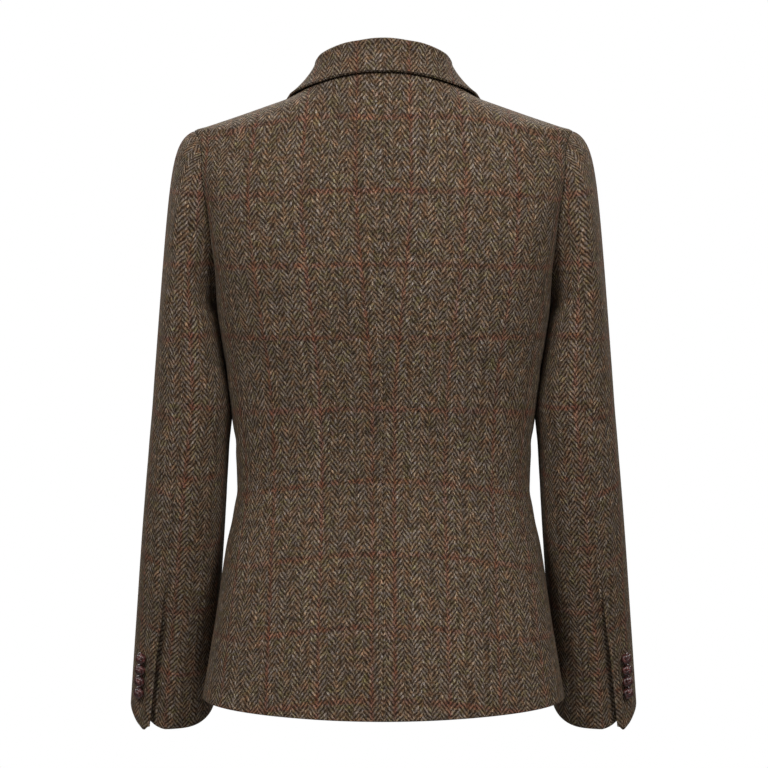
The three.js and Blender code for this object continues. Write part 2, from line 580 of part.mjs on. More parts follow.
// A sleeve piece from one seam's column to the other's.
function sleevePiece(from, to) {
  const columns = Array.from({ length: to - from + 1 }, (_, i) => (from + i) % TURNS.length);
  const grid = SLEEVE_ROUND.map((row) => columns.map((j) => ({ point: row[j].point.clone(), inset: row[j].inset.clone() })));
  return trim(grid, ["first", "last"]);
}

function closedBody(points, faces) {
  const volume = faces.reduce((sum, [a, b, c]) => sum + points[a].dot(points[b].clone().cross(points[c])), 0);
  const body = new THREE.BufferGeometry();
  body.setAttribute("position", new THREE.Float32BufferAttribute(points.flatMap((p) => p.toArray()), 3));
  body.setIndex(faces.flatMap(([a, b, c]) => (volume > 0 ? [a, b, c] : [a, c, b])));
  body.computeVertexNormals();
  return body;
}

// A closed wall: the outer face of the grid, the inner face, and the rims between them.
function wall(grid) {
  const [rows, cols] = [grid.length, grid[0].length];
  const cells = grid.flat();
  const points = [...cells.map(({ point }) => point), ...cells.map(({ point, inset }) => point.clone().sub(inset))];
  const outer = (i, j) => i * cols + j;
  const inner = (i, j) => rows * cols + i * cols + j;
  const faces = [];
  const quad = (a, b, c, d) => faces.push([a, b, c], [a, c, d]);
  for (let i = 0; i + 1 < rows; i++) {
    for (let j = 0; j + 1 < cols; j++) {
      quad(outer(i, j), outer(i, j + 1), outer(i + 1, j + 1), outer(i + 1, j));
      quad(inner(i, j), inner(i + 1, j), inner(i + 1, j + 1), inner(i, j + 1));
    }
  }
  // The diagonals of a rim run from a higher outer point to a lower inner one, so that both sides of a seam match.
  for (let j = 0; j + 1 < cols; j++) {
    quad(outer(0, j + 1), outer(0, j), inner(0, j), inner(0, j + 1));
    quad(inner(rows - 1, j), outer(rows - 1, j), outer(rows - 1, j + 1), inner(rows - 1, j + 1));
  }
  for (let i = 0; i + 1 < rows; i++) {
    quad(outer(i + 1, cols - 1), outer(i, cols - 1), inner(i, cols - 1), inner(i + 1, cols - 1));
    quad(inner(i, 0), outer(i, 0), outer(i + 1, 0), inner(i + 1, 0));
  }
  return closedBody(points, faces);
}

// A leather knot: a round body on a narrower foot, turned round its own axis.
const KNOT_COLUMNS = ["radius", "height"]; // shares of the button's radius and height
const KNOT_PROFILE = [[0.62, 0], [0.9, 0.14], [1, 0.42], [0.86, 0.74], [0.5, 0.94]];
function knot(centre, out, { radius, height }) {
  const sides = 10;
  const seat = SEAM_GAP;
  const axis = out.clone().normalize();
  const across = V(0, 0, 1).cross(axis).normalize();
  const up = axis.clone().cross(across);
  const ring = KNOT_PROFILE.map((row) => named(KNOT_COLUMNS, row));
  const at = (r, h, turn) => centre.clone().addScaledVector(axis, seat + h * height)
    .addScaledVector(across, r * radius * Math.cos(turn)).addScaledVector(up, r * radius * Math.sin(turn));
  const points = ring.flatMap((r) => steps(sides).slice(0, -1).map((s) => at(r.radius, r.height, s * 2 * Math.PI)));
  const [foot, crown] = [points.length, points.length + 1];
  points.push(at(0, 0, 0), at(0, 1, 0));
  const faces = [];
  for (let j = 0; j < sides; j++) {
    const next = (j + 1) % sides;
    for (let i = 0; i + 1 < ring.length; i++) {
      const [a, b, c, d] = [i * sides + j, i * sides + next, (i + 1) * sides + next, (i + 1) * sides + j];
      faces.push([a, b, c], [a, c, d]);
    }
    faces.push([foot, next, j], [crown, (ring.length - 1) * sides + j, (ring.length - 1) * sides + next]);
  }
  return closedBody(points, faces);
}

// The middle of a cuff button, on the upper sleeve, and the way it faces.
function cuffButton(index, mirror) {
  const wanted = CUFF_BUTTONS.lowZ + CUFF_BUTTONS.pitch * index;
  const top = SLEEVE_TABLE[0][0];
  const z = solve(SLEEVE_TABLE.at(-1)[0], top, (row) => sleevePoint(row, CUFF_BUTTONS.angle).z - wanted);
  const point = sleevePoint(z, CUFF_BUTTONS.angle);
  const down = sleevePoint(z - 2, CUFF_BUTTONS.angle).sub(point);
  const round = sleevePoint(z, CUFF_BUTTONS.angle - 2).sub(point);
  const out = down.cross(round);
  return knot(V(mirror * point.x, point.y, point.z), V(mirror * out.x, out.y, out.z), CUFF_BUTTONS);
}

function frontButton(z) {
  const { level, angle } = frontAt(0, z);
  return knot(overFront(0, z, "right", 0), formNormal(level, angle), FRONT_BUTTONS);
}

const blazer = new THREE.Group();
function add(name, geometry, look) {
  const mesh = new THREE.Mesh(geometry, new THREE.MeshStandardMaterial(look));
  mesh.name = name;
  blazer.add(mesh);
}

const round = TURNS.length;
const PANELS = {
  back: backPanel,
  side: sidePanel,
  front: frontPanel,
  lapel,
  sleeve_upper: () => sleevePiece(FORE_SEAM_POINT, round + HIND_SEAM_POINT),
  sleeve_under: () => sleevePiece(HIND_SEAM_POINT, FORE_SEAM_POINT),
};
for (const [name, make] of Object.entries(PANELS)) {
  add(`${name}_left`, wall(make("left")), TWEED);
  add(`${name}_right`, wall(mirrored(make("right"))), TWEED);
}
add("collar", wall(collar()), TWEED);
for (let i = 0; i < CUFF_BUTTONS.count; i++) {
  add(`cuff_button_left_${i + 1}`, cuffButton(i, 1), LEATHER);
  add(`cuff_button_right_${i + 1}`, cuffButton(i, -1), LEATHER);
}
FRONT_BUTTONS.heights.forEach((z, i) => add(`front_button_${i + 1}`, frontButton(z), LEATHER));

export default blazer;
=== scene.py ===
"""A tailored herringbone tweed blazer in its worn, hollow form.

Every cloth piece is a thin shell on the form of the solid that it replaces, worked out from the same
sizes. Lengths in the tables are millimetres. +Z is up, the front faces -Y, the wearer's left is +X.
The origin is the nape, the middle of the back neck seam.
"""

import math

import bpy
import numpy as np
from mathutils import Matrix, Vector


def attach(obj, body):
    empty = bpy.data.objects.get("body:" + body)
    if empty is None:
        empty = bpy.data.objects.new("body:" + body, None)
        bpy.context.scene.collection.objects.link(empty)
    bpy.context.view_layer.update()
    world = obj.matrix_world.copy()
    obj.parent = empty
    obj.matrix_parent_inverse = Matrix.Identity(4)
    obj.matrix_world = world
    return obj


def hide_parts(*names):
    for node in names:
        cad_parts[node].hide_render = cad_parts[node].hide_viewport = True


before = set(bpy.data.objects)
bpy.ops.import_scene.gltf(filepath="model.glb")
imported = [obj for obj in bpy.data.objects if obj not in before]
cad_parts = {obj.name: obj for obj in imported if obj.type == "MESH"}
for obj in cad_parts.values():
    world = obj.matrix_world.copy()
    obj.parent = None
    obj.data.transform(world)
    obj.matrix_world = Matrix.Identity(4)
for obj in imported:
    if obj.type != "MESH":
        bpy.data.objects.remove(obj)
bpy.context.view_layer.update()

MM = 0.001
TAU = 2 * math.pi

# Cloth and seams
CLOTH = 2.0
COLLAR_CLOTH = 2.4
SEAM_GAP = 0.3
CELL = 4.0  # the size of a cell of a panel's grid
SHOULDER_CELL = 2.4
PANEL_CELLS = 165 / CELL  # across a back or a front
# Radii of a panel's edge, as shares of half its thickness
PLAIN_SEAM = 0.3
ARM_SEAM = 0.5
HIND_SEAM_EDGE = 0.5
FREE_EDGE = 1.0

# The body as rings from the hem to the neck seam: the side's z, half width and y, then y and z at the
# centre back and the centre front, and how square the back and front quarters are (2 is an ellipse)
BODY_TABLE = [
    [-640, 187.0, -92.0, 36.0, -645, -224, -646, 2.3, 2.3],
    [-600, 180.0, -92.0, 31.5, -602, -223, -602, 2.3, 2.3],
    [-540, 170.6, -91.0, 22.0, -541, -219, -541, 2.3, 2.3],
    [-480, 161.0, -90.0, 10.5, -480, -212, -480, 2.3, 2.3],
    [-455, 155.3, -89.5, 6.0, -455, -209, -455, 2.3, 2.3],
    [-415, 150.6, -88.5, 2.0, -415, -207, -415, 2.3, 2.3],
    [-375, 152.7, -88.0, 4.0, -375, -212, -375, 2.35, 2.3],
    [-340, 157.0, -87.5, 9.0, -340, -221, -340, 2.4, 2.3],
    [-290, 163.5, -87.0, 18.0, -290, -231, -290, 2.5, 2.35],
    [-235, 170.5, -86.0, 26.0, -235, -231, -239, 2.7, 2.4],
    [-202, 173.5, -85.0, 28.0, -202, -222, -213, 2.9, 2.5],
    [-179, 177.5, -82.0, 28.0, -179, -212, -194, 3.0, 2.5],
    [-150, 183.0, -78.0, 27.0, -150, -198, -173, 2.9, 2.5],
    [-122, 188.5, -72.0, 24.5, -122, -183, -152, 2.75, 2.4],
    [-93, 193.5, -66.0, 20.0, -93, -168, -132, 2.3, 2.2],
    [-76, 193.5, -63.8, 17.7, -76, -158.5, -121, 1.98, 2.0],
    [-61, 191.0, -62.0, 15.0, -60, -150, -111, 1.74, 1.81],
    [-55, 176.0, -61.5, 13.3, -52, -146, -104, 1.78, 1.83],
    [-48.3, 156.0, -61.0, 11.2, -42, -141, -97, 1.78, 1.84],
    [-41.5, 136.0, -60.5, 8.8, -32, -136, -90, 1.8, 1.86],
    [-34.5, 116.0, -60.0, 6.2, -22, -132, -84, 1.84, 1.88],
    [-27, 95.0, -59.0, 3.2, -11, -128, -79, 1.9, 1.92],
    [-13, 72.0, -58.0, 0.0, 0, -125, -75, 2.0, 2.0],
]
HEM_LEVEL = -640
UNDERARM_LEVEL = -262
SHOULDER_LEVEL = -61
NECK_LEVEL = -13

# The armhole, seen from the side
ARMHOLE = {
    "top_z": -61, "bottom_z": -235, "top_y": -62, "bottom_y": -87, "back_reach": 46, "front_reach": 65,
}
ARMHOLE_POINTS = 112
# Where the body's side seams run into it, in degrees from its top, back first
SIDE_BACK_TOP = 128
SIDE_FRONT_TOP = 240
# The sleeve's curve out of the armhole, at the armhole's top, half way down and bottom: how far its start
# falls for each step outwards, and how long its two handles are
CAP_FALL = (-0.35, -0.32, -1.06)
CAP_START = (24.5, 19.0, 7.0)
CAP_DROP = (0.85, 0.6, 0.35)
CAP_BACKWARD, CAP_FORWARD = 0.8, 0.42  # how far it goes back and forward for each step outwards

# Body seams: height and distance from the centre line
SIDE_BACK_SEAM = [[-640, 121], [-540, 118], [-415, 112], [-330, 128], [-262, 149]]
SIDE_FRONT_SEAM = [[-640, 138], [-540, 128], [-415, 112], [-330, 124], [-262, 143]]

# Front edge, roll line and lapel, seen from the front; w is the distance from the centre line
OVERLAP = 20
BREAK_Z = -338
NECK_ANGLE = 128
LAPEL_BOW = (62, -222)
LAPEL_TIP = (117, -112)
LAPEL_START = 0.07
NOTCH = 0.6
HEM_CORNER = 46
CORNER_ROWS = 14
FRONT_SET = {"left": -4.2, "right": 1.7}
FRONT_SET_SPAN = (22, 54)
LAPEL_LIFT = {"overlap": 2.8, "open": 4.0}
LAPEL_LIFT_SPAN = (20, 50)

# Sleeve sections: z, x, y, half width, half depth, and the tilt in degrees
SLEEVE_TABLE = [
    [-262, 202.1, -86, 28.6, 66.0, 0],
    [-300, 201.1, -86, 32.7, 64.0, 1],
    [-340, 199.0, -88, 38.1, 61.0, 3],
    [-380, 200.4, -92, 40.7, 58.0, 6],
    [-420, 203.2, -98, 41.9, 55.5, 10],
    [-460, 206.6, -107, 42.6, 53.0, 13],
    [-500, 210.2, -118, 43.0, 50.5, 15],
    [-550, 214.7, -134, 43.4, 48.0, 17],
    [-600, 219.3, -150, 43.8, 46.0, 20],
    [-659, 224.2, -168, 44.6, 45.0, 30],
]
CUFF_ROW = -659
SLEEVE_TOP = -262
HIND_SEAM_POINT = 28
FORE_SEAM_POINT = 72
HIND_SEAM = [[-659, 26], [-560, 19.5], [-420, 13], [-300, 4]]
FORE_SEAM_AT_CUFF = 214

# Collar: angle round the neck, the fold's height and radius, its lean, and the level and angle of the
# fall's edge
COLLAR_TABLE = [
    [0, 29.8, 4.2, 10.0, -20.8, 0],
    [25, 30.1, 4.2, 9.2, -19.2, 25],
    [42, 31.2, 4.2, 8.6, -18.4, 42],
    [68, 29.4, 4.2, 8.8, -20.0, 67],
    [90, 21.8, 4.2, 8.0, -24.6, 88],
    [110, 14.0, 3.8, 4.6, -31.6, 103],
    [120, 8.2, 3.4, 1.2, -41.0, 113],
    [128, 3.2, 3.1, 0.0, -50.0, 122],
]
COLLAR_LIFT = 4.4
STAND_GAP = 0.75
COLLAR_TURNS_FROM = 84  # degrees: past it the stand turns over into the roll line
COLLAR_ENDS_FROM = 112
# The fall's handles as shares of its span and of the fold's height, how they tighten round the neck, and
# the share of the fall over which it turns to lie along the body
FALL = {"top": 0.36, "most": 0.6, "edge": 0.3, "tighter": 0.6, "from": 40, "to": 80, "turn": 0.8}
NOTCH_AT = 0.62  # the share of the fall's width that goes down the gorge

# Leather knot buttons
CUFF_BUTTONS = {"radius": 5.7, "height": 9.0, "low_z": -643.2, "pitch": 12.6, "count": 4, "angle": 46.5}
FRONT_BUTTONS = {"radius": 9.2, "height": 8.5, "heights": (-352, -452)}


def lerp(a, b, share):
    return a + (b - a) * share


def smoothstep(x, low, high):
    t = np.clip((x - low) / (high - low), 0, 1)
    return t * t * (3 - 2 * t)


def unit(v):
    return v / np.maximum(np.linalg.norm(v, axis=-1, keepdims=True), 1e-12)


def dot(a, b):
    return np.sum(a * b, axis=-1, keepdims=True)


def length(v):
    return np.linalg.norm(v, axis=-1)


def join(*parts, axis=0):
    return np.concatenate(parts, axis=axis)


def vec(x, y, z):
    return np.stack(np.broadcast_arrays(x, y, z), axis=-1).astype(float)


def table_reader(rows):
    """Reads a table at keys in its first column, with a smooth curve that doesn't overshoot its rows."""
    table = np.array(sorted(rows), float)
    keys = table[:, 0]
    span = np.diff(keys)[:, None]
    step = np.diff(table, axis=0) / span
    before, after = span[:-1], span[1:]
    w0, w1 = 2 * after + before, after + 2 * before
    same = step[:-1] * step[1:] > 0
    low, high = np.where(same, step[:-1], 1), np.where(same, step[1:], 1)
    slopes = join(step[:1], np.where(same, (w0 + w1) / (w0 / low + w1 / high), 0), step[-1:])

    def read(key):
        k = np.clip(np.asarray(key, float), keys[0], keys[-1])
        i = np.clip(np.searchsorted(keys, k, side="right") - 1, 0, len(keys) - 2)
        width = span[i]
        t = (k - keys[i])[..., None] / width
        t2, t3 = t * t, t * t * t
        ends = (2 * t3 - 3 * t2 + 1) * table[i] + (3 * t2 - 2 * t3) * table[i + 1]
        found = ends + (t3 - 2 * t2 + t) * width * slopes[i] + (t3 - t2) * width * slopes[i + 1]
        return np.moveaxis(found, -1, 0)

    return read


read_body = table_reader(BODY_TABLE)
read_sleeve = table_reader(SLEEVE_TABLE)
read_collar = table_reader(COLLAR_TABLE)


def solve(low, high, test, rounds=34):
    """Halves each span from low to high towards the place where test changes sign."""
    low, high = np.array(low, float), np.array(high, float)
    rising = test(high) > 0
    for _ in range(rounds):
        middle = (low + high) / 2
        upper = (test(middle) > 0) == rising
        low, high = np.where(upper, low, middle), np.where(upper, middle, high)
    return (low + high) / 2


def form_point(level, angle):
    """A point of the body form. angle goes round the ring from the centre back by the wearer's left."""
    level, angle = np.broadcast_arrays(np.asarray(level, float), np.asarray(angle, float))
    _, half_width, side_y, back_y, back_z, front_y, front_z, back_full, front_full = read_body(level)
    side_z = np.clip(level, BODY_TABLE[0][0], BODY_TABLE[-1][0])
    across, along = np.sin(angle), np.cos(angle)
    back = along > 0
    full = np.where(back, back_full, front_full)
    depth = np.where(back, back_y - side_y, side_y - front_y)
    reach = (np.abs(along / depth) ** full + np.abs(across / half_width) ** full) ** (-1 / full)
    end_z = np.where(back, back_z, front_z)
    return vec(reach * across, side_y + reach * along, lerp(side_z, end_z, along**2))


NEAR_LEVEL, NEAR_ANGLE = 0.5, 0.004  # steps to the places beside one, for the way out there


def form_normal(level, angle):
    level, angle = np.asarray(level, float), np.asarray(angle)
    low, high = np.maximum(level - NEAR_LEVEL, HEM_LEVEL), np.minimum(level + NEAR_LEVEL, NECK_LEVEL)
    up = form_point(high, angle) - form_point(low, angle)
    along = form_point(level, angle + NEAR_ANGLE) - form_point(level, angle - NEAR_ANGLE)
    return unit(np.cross(up, along))


PAST_FRONT = math.pi * 1.2  # how far round the search for a place on the front goes


def angle_at_x(level, x, back):
    """The angle on a ring where the form is x from the centre line, in the back or the front quarter."""
    level, x = np.broadcast_arrays(np.asarray(level, float), np.asarray(x, float))
    far = np.full(level.shape, 0.0 if back else PAST_FRONT)
    return solve(far, np.full(level.shape, math.pi / 2), lambda a: form_point(level, a)[..., 0] - x)


def front_at(x, z):
    """The level and angle of the front where it is seen at x and z."""
    x, z = np.broadcast_arrays(np.asarray(x, float), np.asarray(z, float))

    def above(level):
        return form_point(level, angle_at_x(level, x, False))[..., 2] - z

    level = solve(np.full(x.shape, float(HEM_LEVEL)), np.full(x.shape, float(NECK_LEVEL)), above, 24)
    return level, angle_at_x(level, x, False)


def angle_at_y(level, y):
    return solve(np.zeros(y.shape), np.full(y.shape, math.pi), lambda a: y - form_point(level, a)[..., 1])


def armhole_points(turn):
    """Levels, angles and points of the armhole. turn goes round from the top, back first."""
    share = (1 + np.cos(turn)) / 2
    z = lerp(ARMHOLE["bottom_z"], ARMHOLE["top_z"], share)
    reach = np.where(np.sin(turn) > 0, ARMHOLE["back_reach"], ARMHOLE["front_reach"])
    y = lerp(ARMHOLE["bottom_y"], ARMHOLE["top_y"], share) + np.sin(turn) * reach
    level = z.copy()
    for _ in range(20):
        angle = angle_at_y(level, y)
        level = np.minimum(level + z - form_point(level, angle)[..., 2], SHOULDER_LEVEL)
    return level, angle, form_point(level, angle)


def spread_turns():
    """Turns round the armhole, which take in the two places where body seams run into it."""
    ends = [0, SIDE_BACK_TOP, SIDE_FRONT_TOP, 360]
    parts = []
    for low, high in zip(ends, ends[1:]):
        count = 4 * round(ARMHOLE_POINTS * (high - low) / 360 / 4)
        parts.append(lerp(low, high, np.arange(count) / count))
    return np.radians(join(*parts))


TURNS = spread_turns()
BACK_TOP = int(np.argmin(np.abs(TURNS - math.radians(SIDE_BACK_TOP))))
FRONT_TOP = int(np.argmin(np.abs(TURNS - math.radians(SIDE_FRONT_TOP))))


def by_height(values, up):
    """Eases a value from the middle of the armhole to its top and its bottom."""
    top, middle, bottom = values
    return lerp(middle, np.where(up > 0, top, bottom), np.abs(up))


def cap_handles(turn):
    """The way the sleeve leaves the armhole, and how long the handles of its curve are at either end."""
    up, back = np.cos(turn), np.sin(turn)
    sideways = back * np.where(back > 0, CAP_BACKWARD, CAP_FORWARD)
    outward = unit(vec(np.ones_like(up), sideways, by_height(CAP_FALL, up)))
    return outward, by_height(CAP_START, up), by_height(CAP_DROP, up)


def armhole_seam():
    """The seam that sets the sleeve on the body: points, the two walls' shared slant, the way across."""
    level, angle, point = armhole_points(TURNS)
    along = unit(np.roll(point, -1, axis=0) - np.roll(point, 1, axis=0))
    body = form_normal(np.minimum(level, SHOULDER_LEVEL - 2), angle)
    outward = cap_handles(TURNS)[0]
    sleeve = unit(np.cross(outward, along))
    away = vec(np.zeros_like(TURNS), np.sin(TURNS), np.cos(TURNS))
    sleeve = np.where(dot(sleeve, away) < 0, -sleeve, sleeve)
    middle = unit(body + sleeve)
    across = unit(np.cross(along, middle))
    across = np.where(dot(across, outward) < 0, -across, across)
    return {"level": level, "angle": angle, "point": point, "normal": middle, "across": across}


ARMHOLE_SEAM = armhole_seam()


def seam_reader(seam, top):
    return table_reader(seam + [[ARMHOLE_SEAM["level"][top], ARMHOLE_SEAM["point"][top, 0]]])


read_side_back = seam_reader(SIDE_BACK_SEAM, BACK_TOP)
read_side_front = seam_reader(SIDE_FRONT_SEAM, FRONT_TOP)


def side_back_angle(level):
    return angle_at_x(level, read_side_back(level)[1], True)


def side_front_angle(level):
    return angle_at_x(level, read_side_front(level)[1], False)


def between(low, high, cell):
    """Values from low to high, both taken in, about a cell apart."""
    count = max(int(round(abs(high - low) / cell)), 1)
    return np.linspace(low, high, count + 1)


def draw_in(points, radii):
    """How far each point of a grid is drawn in along the cloth, to let its edges be rounded."""
    moves = np.zeros(points.shape)
    moves[:, 0] += unit(points[:, 1] - points[:, 0]) * radii["first"]
    moves[:, -1] += unit(points[:, -2] - points[:, -1]) * radii["last"]
    moves[-1] += unit(points[-2] - points[-1]) * radii["top"]
    moves[0] += unit(points[1] - points[0]) * radii["bottom"]
    return moves


def on_body(x, z, back):
    return form_point(np.array(float(z)), angle_at_x(np.array(float(z)), np.array(float(x)), back))


CREASE_FADE = 0.35  # the share of a crease's length over which each end fades


def sink(points, normals, line, depth, reach):
    """Lays a soft trough along a line of points, or a ridge where the depth is below 0."""
    line = np.array(line)
    lengths = length(np.diff(line, axis=0))
    passed = join([0], np.cumsum(lengths))
    best = np.full(points.shape[:-1] + (1,), np.inf)
    away, share = np.zeros(points.shape), np.zeros(best.shape)
    for start, end, span, before in zip(line, line[1:], lengths, passed):
        t = np.clip(dot(points - start, end - start) / span**2, 0, 1)
        off = points - start - (end - start) * t
        far = length(off)[..., None]
        nearer = far < best
        best, away = np.where(nearer, far, best), np.where(nearer, off, away)
        share = np.where(nearer, (before + t * span) / passed[-1], share)
    fade = smoothstep(share, 0, CREASE_FADE) * smoothstep(share, 1, 1 - CREASE_FADE)
    drop = depth * fade * np.exp(-((best / reach) ** 2))
    slope = away * drop * 2 / reach**2
    slope -= normals * dot(slope, normals)
    return points - normals * drop, unit(normals - slope)


# Creases and hollows of the body: depth, reach, and a line of places (x, z) on the back or the front
BACK_CREASES = [
    (1.3, 13, [(117, -128), (120, -165), (114, -214)]),
    (1.0, 9, [(31, -232), (33, -262), (30, -296)]),
    (1.1, 13, [(112, -495), (114, -545), (109, -596)]),
    (1.5, 9, [(146, -268), (112, -296), (72, -318)]),
    (1.1, 8, [(136, -318), (108, -334), (84, -338)]),
    (1.3, 9, [(126, -374), (88, -386), (40, -382)]),
    (1.0, 10, [(124, -412), (92, -430), (58, -436)]),
    (0.9, 10, [(62, -44), (92, -62), (124, -82)]),
    (-0.9, 12, [(0, -44), (0, -110), (0, -186)]),
    (-0.9, 18, [(96, -354), (50, -352), (0, -350)]),
    (-0.8, 14, [(52, -540), (48, -585), (46, -636)]),
    (0.8, 15, [(76, -470), (72, -520), (66, -565)]),
]
FRONT_CREASES = [
    (1.5, 9, [(30, -356), (74, -350), (112, -334)]),
    (1.3, 9, [(34, -364), (78, -380), (122, -394)]),
    (1.6, 11, [(134, -196), (124, -250), (108, -296)]),
    (1.0, 14, [(58, -470), (66, -520), (78, -574)]),
    (1.0, 12, [(112, -440), (118, -490), (116, -545)]),
    (0.9, 10, [(140, -282), (124, -306), (96, -318)]),
    (-0.8, 15, [(92, -500), (98, -560), (100, -625)]),
]
# The same round the side: depth, reach, and places (z, degrees from the centre back)
SIDE_CREASES = [
    (1.3, 9, [(-372, 76), (-378, 92), (-368, 108)]),
    (1.0, 9, [(-424, 72), (-430, 90), (-424, 112)]),
    (1.2, 10, [(-288, 74), (-306, 88), (-316, 104)]),
    (0.9, 14, [(-490, 80), (-540, 84), (-590, 86)]),
]
# How deep the cloth is pulled in along the armhole seam, by the turn round it from its top, back first
ARMHOLE_PULL = [
    [0, -1.1], [30, -0.4], [50, 0.5], [75, 1.0], [115, 1.2], [150, 1.2],
    [180, 1.1], [215, 2.0], [255, 2.2], [310, 0.8], [335, -0.4], [360, -1.1],
]
ARMHOLE_PULL_REACH = 10.0


read_armhole_pull = table_reader(ARMHOLE_PULL)


def pull_at_armhole(points):
    seam = ARMHOLE_SEAM["point"]
    nearest = np.argmin(np.sum((points.reshape(-1, 1, 3) - seam) ** 2, axis=-1), axis=1)
    nearest = nearest.reshape(points.shape[:-1])
    far = length(points - seam[nearest])[..., None]
    depth = read_armhole_pull(np.degrees(TURNS))[1][nearest][..., None]
    return points - ARMHOLE_SEAM["normal"][nearest] * depth * np.exp(-((far / ARMHOLE_PULL_REACH) ** 2))


def body_creases(points, normals):
    for places, back in ((BACK_CREASES, True), (FRONT_CREASES, False)):
        for depth, reach, line in places:
            points, normals = sink(points, normals, [on_body(x, z, back) for x, z in line], depth, reach)
    for depth, reach, line in SIDE_CREASES:
        spots = [form_point(np.array(float(z)), np.radians(float(a))) for z, a in line]
        points, normals = sink(points, normals, spots, depth, reach)
    return pull_at_armhole(points), normals


LOWER = between(HEM_LEVEL, UNDERARM_LEVEL, CELL)


def on_armhole(index, side):
    return ARMHOLE_SEAM["point"][index] + ARMHOLE_SEAM["across"][index] * side * SEAM_GAP / 2


def to_armhole(lower, turns, side_angle, ends, side_column):
    """The grid of a back or a front, from its side seam and the armhole to its other edge."""
    shoulder = between(SHOULDER_LEVEL, NECK_LEVEL, SHOULDER_CELL)[1:]
    levels = join(lower, ARMHOLE_SEAM["level"][turns], shoulder)
    edges = join(side_angle(lower), ARMHOLE_SEAM["angle"][turns], np.full(len(shoulder), math.pi / 2))
    shares = between(0, 1, 1 / PANEL_CELLS)
    if side_column < 0:
        angle = lerp(ends(levels)[:, None], edges[:, None], shares)
    else:
        angle = lerp(edges[:, None], ends(levels)[:, None], shares)
    level = np.broadcast_to(levels[:, None], angle.shape)
    rows = slice(len(lower), len(lower) + len(turns))
    radii = np.full(len(levels), PLAIN_SEAM)
    radii[rows] = ARM_SEAM
    return form_point(level, angle), form_normal(level, angle), rows, radii


def set_on_armhole(points, normals, where, turns):
    points[where] = on_armhole(turns, -1)
    normals[where] = ARMHOLE_SEAM["normal"][turns]


def back_panel(_side):
    lower = join(LOWER, between(UNDERARM_LEVEL, ARMHOLE_SEAM["level"][BACK_TOP], CELL)[1:-1])
    turns = np.arange(BACK_TOP, -1, -1)
    points, normals, rows, radii = to_armhole(lower, turns, side_back_angle, np.zeros_like, -1)
    set_on_armhole(points, normals, (rows, -1), turns)
    return points, normals, {"first": PLAIN_SEAM, "last": radii, "top": PLAIN_SEAM, "bottom": FREE_EDGE}


def side_panel(_side):
    count = FRONT_TOP - BACK_TOP
    shares = np.arange(count + 1) / count
    lower_angle = lerp(side_back_angle(LOWER)[:, None], side_front_angle(LOWER)[:, None], shares)
    index = np.arange(BACK_TOP, FRONT_TOP + 1)
    base = lerp(side_back_angle(UNDERARM_LEVEL), side_front_angle(UNDERARM_LEVEL), shares)
    rise = between(0, 1, CELL / (ARMHOLE_SEAM["level"][BACK_TOP] - UNDERARM_LEVEL))[1:, None]
    level = lerp(UNDERARM_LEVEL, ARMHOLE_SEAM["level"][index], rise)
    angle = lerp(base, ARMHOLE_SEAM["angle"][index], rise)
    back_error = side_back_angle(level[:, 0]) - angle[:, 0]
    front_error = side_front_angle(level[:, -1]) - angle[:, -1]
    angle = angle + lerp(back_error[:, None], front_error[:, None], shares)
    level = join(np.broadcast_to(LOWER[:, None], lower_angle.shape), level)
    angle = join(lower_angle, angle)
    points, normals = form_point(level, angle), form_normal(level, angle)
    set_on_armhole(points, normals, -1, index)
    return points, normals, {"first": PLAIN_SEAM, "last": PLAIN_SEAM, "top": ARM_SEAM, "bottom": FREE_EDGE}


def front_set(w, side):
    return FRONT_SET[side] * (1 - smoothstep(w, *FRONT_SET_SPAN))


ROLL_TOP = form_point(NECK_LEVEL, math.radians(NECK_ANGLE))
HEM_FRONT_Z = float(form_point(HEM_LEVEL, math.pi)[2])


def roll_share(z):
    return (z - BREAK_Z) / (ROLL_TOP[2] - BREAK_Z)


def front_edge_angle(level):
    """Where the front ends on a ring: at its edge, round its corner at the hem, or at the roll line."""
    level = np.asarray(level, float)

    def past(angle):
        point = form_point(level, angle)
        z = point[..., 2]
        short = np.clip(HEM_CORNER - (z - HEM_FRONT_Z), 0, HEM_CORNER)
        edge = -OVERLAP + HEM_CORNER - np.sqrt(HEM_CORNER**2 - short**2)
        roll = lerp(-OVERLAP, ROLL_TOP[0], np.maximum(roll_share(z), 0))
        return point[..., 0] - np.where(z < BREAK_Z, edge, roll)

    found = solve(np.full(level.shape, PAST_FRONT), np.full(level.shape, math.pi / 2), past)
    return np.where(level >= NECK_LEVEL, math.radians(NECK_ANGLE), found)


def front_panel(side):
    seam = between(UNDERARM_LEVEL, ARMHOLE_SEAM["level"][FRONT_TOP], CELL)[1:-1]
    corner = HEM_LEVEL + HEM_CORNER * (1 - np.cos(np.linspace(0, math.pi / 2, CORNER_ROWS)))
    lower = join(corner, between(corner[-1], UNDERARM_LEVEL, CELL)[1:], seam)
    turns = join(np.arange(FRONT_TOP, len(TURNS)), [0])
    points, normals, rows, radii = to_armhole(lower, turns, side_front_angle, front_edge_angle, 0)
    points = points + normals * front_set(points[..., :1], side)
    set_on_armhole(points, normals, (rows, 0), turns)
    front_edge = np.where(points[:, -1, 2] < BREAK_Z, FREE_EDGE, PLAIN_SEAM)
    return points, normals, {"first": radii, "last": front_edge, "top": PLAIN_SEAM, "bottom": FREE_EDGE}


def bezier(a, b, c, d, t):
    return a * (1 - t) ** 3 + b * 3 * t * (1 - t) ** 2 + c * 3 * t * t * (1 - t) + d * t**3


def fold_arc(centre, out, beyond, radius, steps):
    """A half circle from the inner side of a fold to its visible side, and the way out along it."""
    turn = np.linspace(0, math.pi, steps + 1)[:, None]
    away = -out[..., None, :] * np.cos(turn) + beyond[..., None, :] * np.sin(turn)
    return centre[..., None, :] + away * radius[..., None, None], away


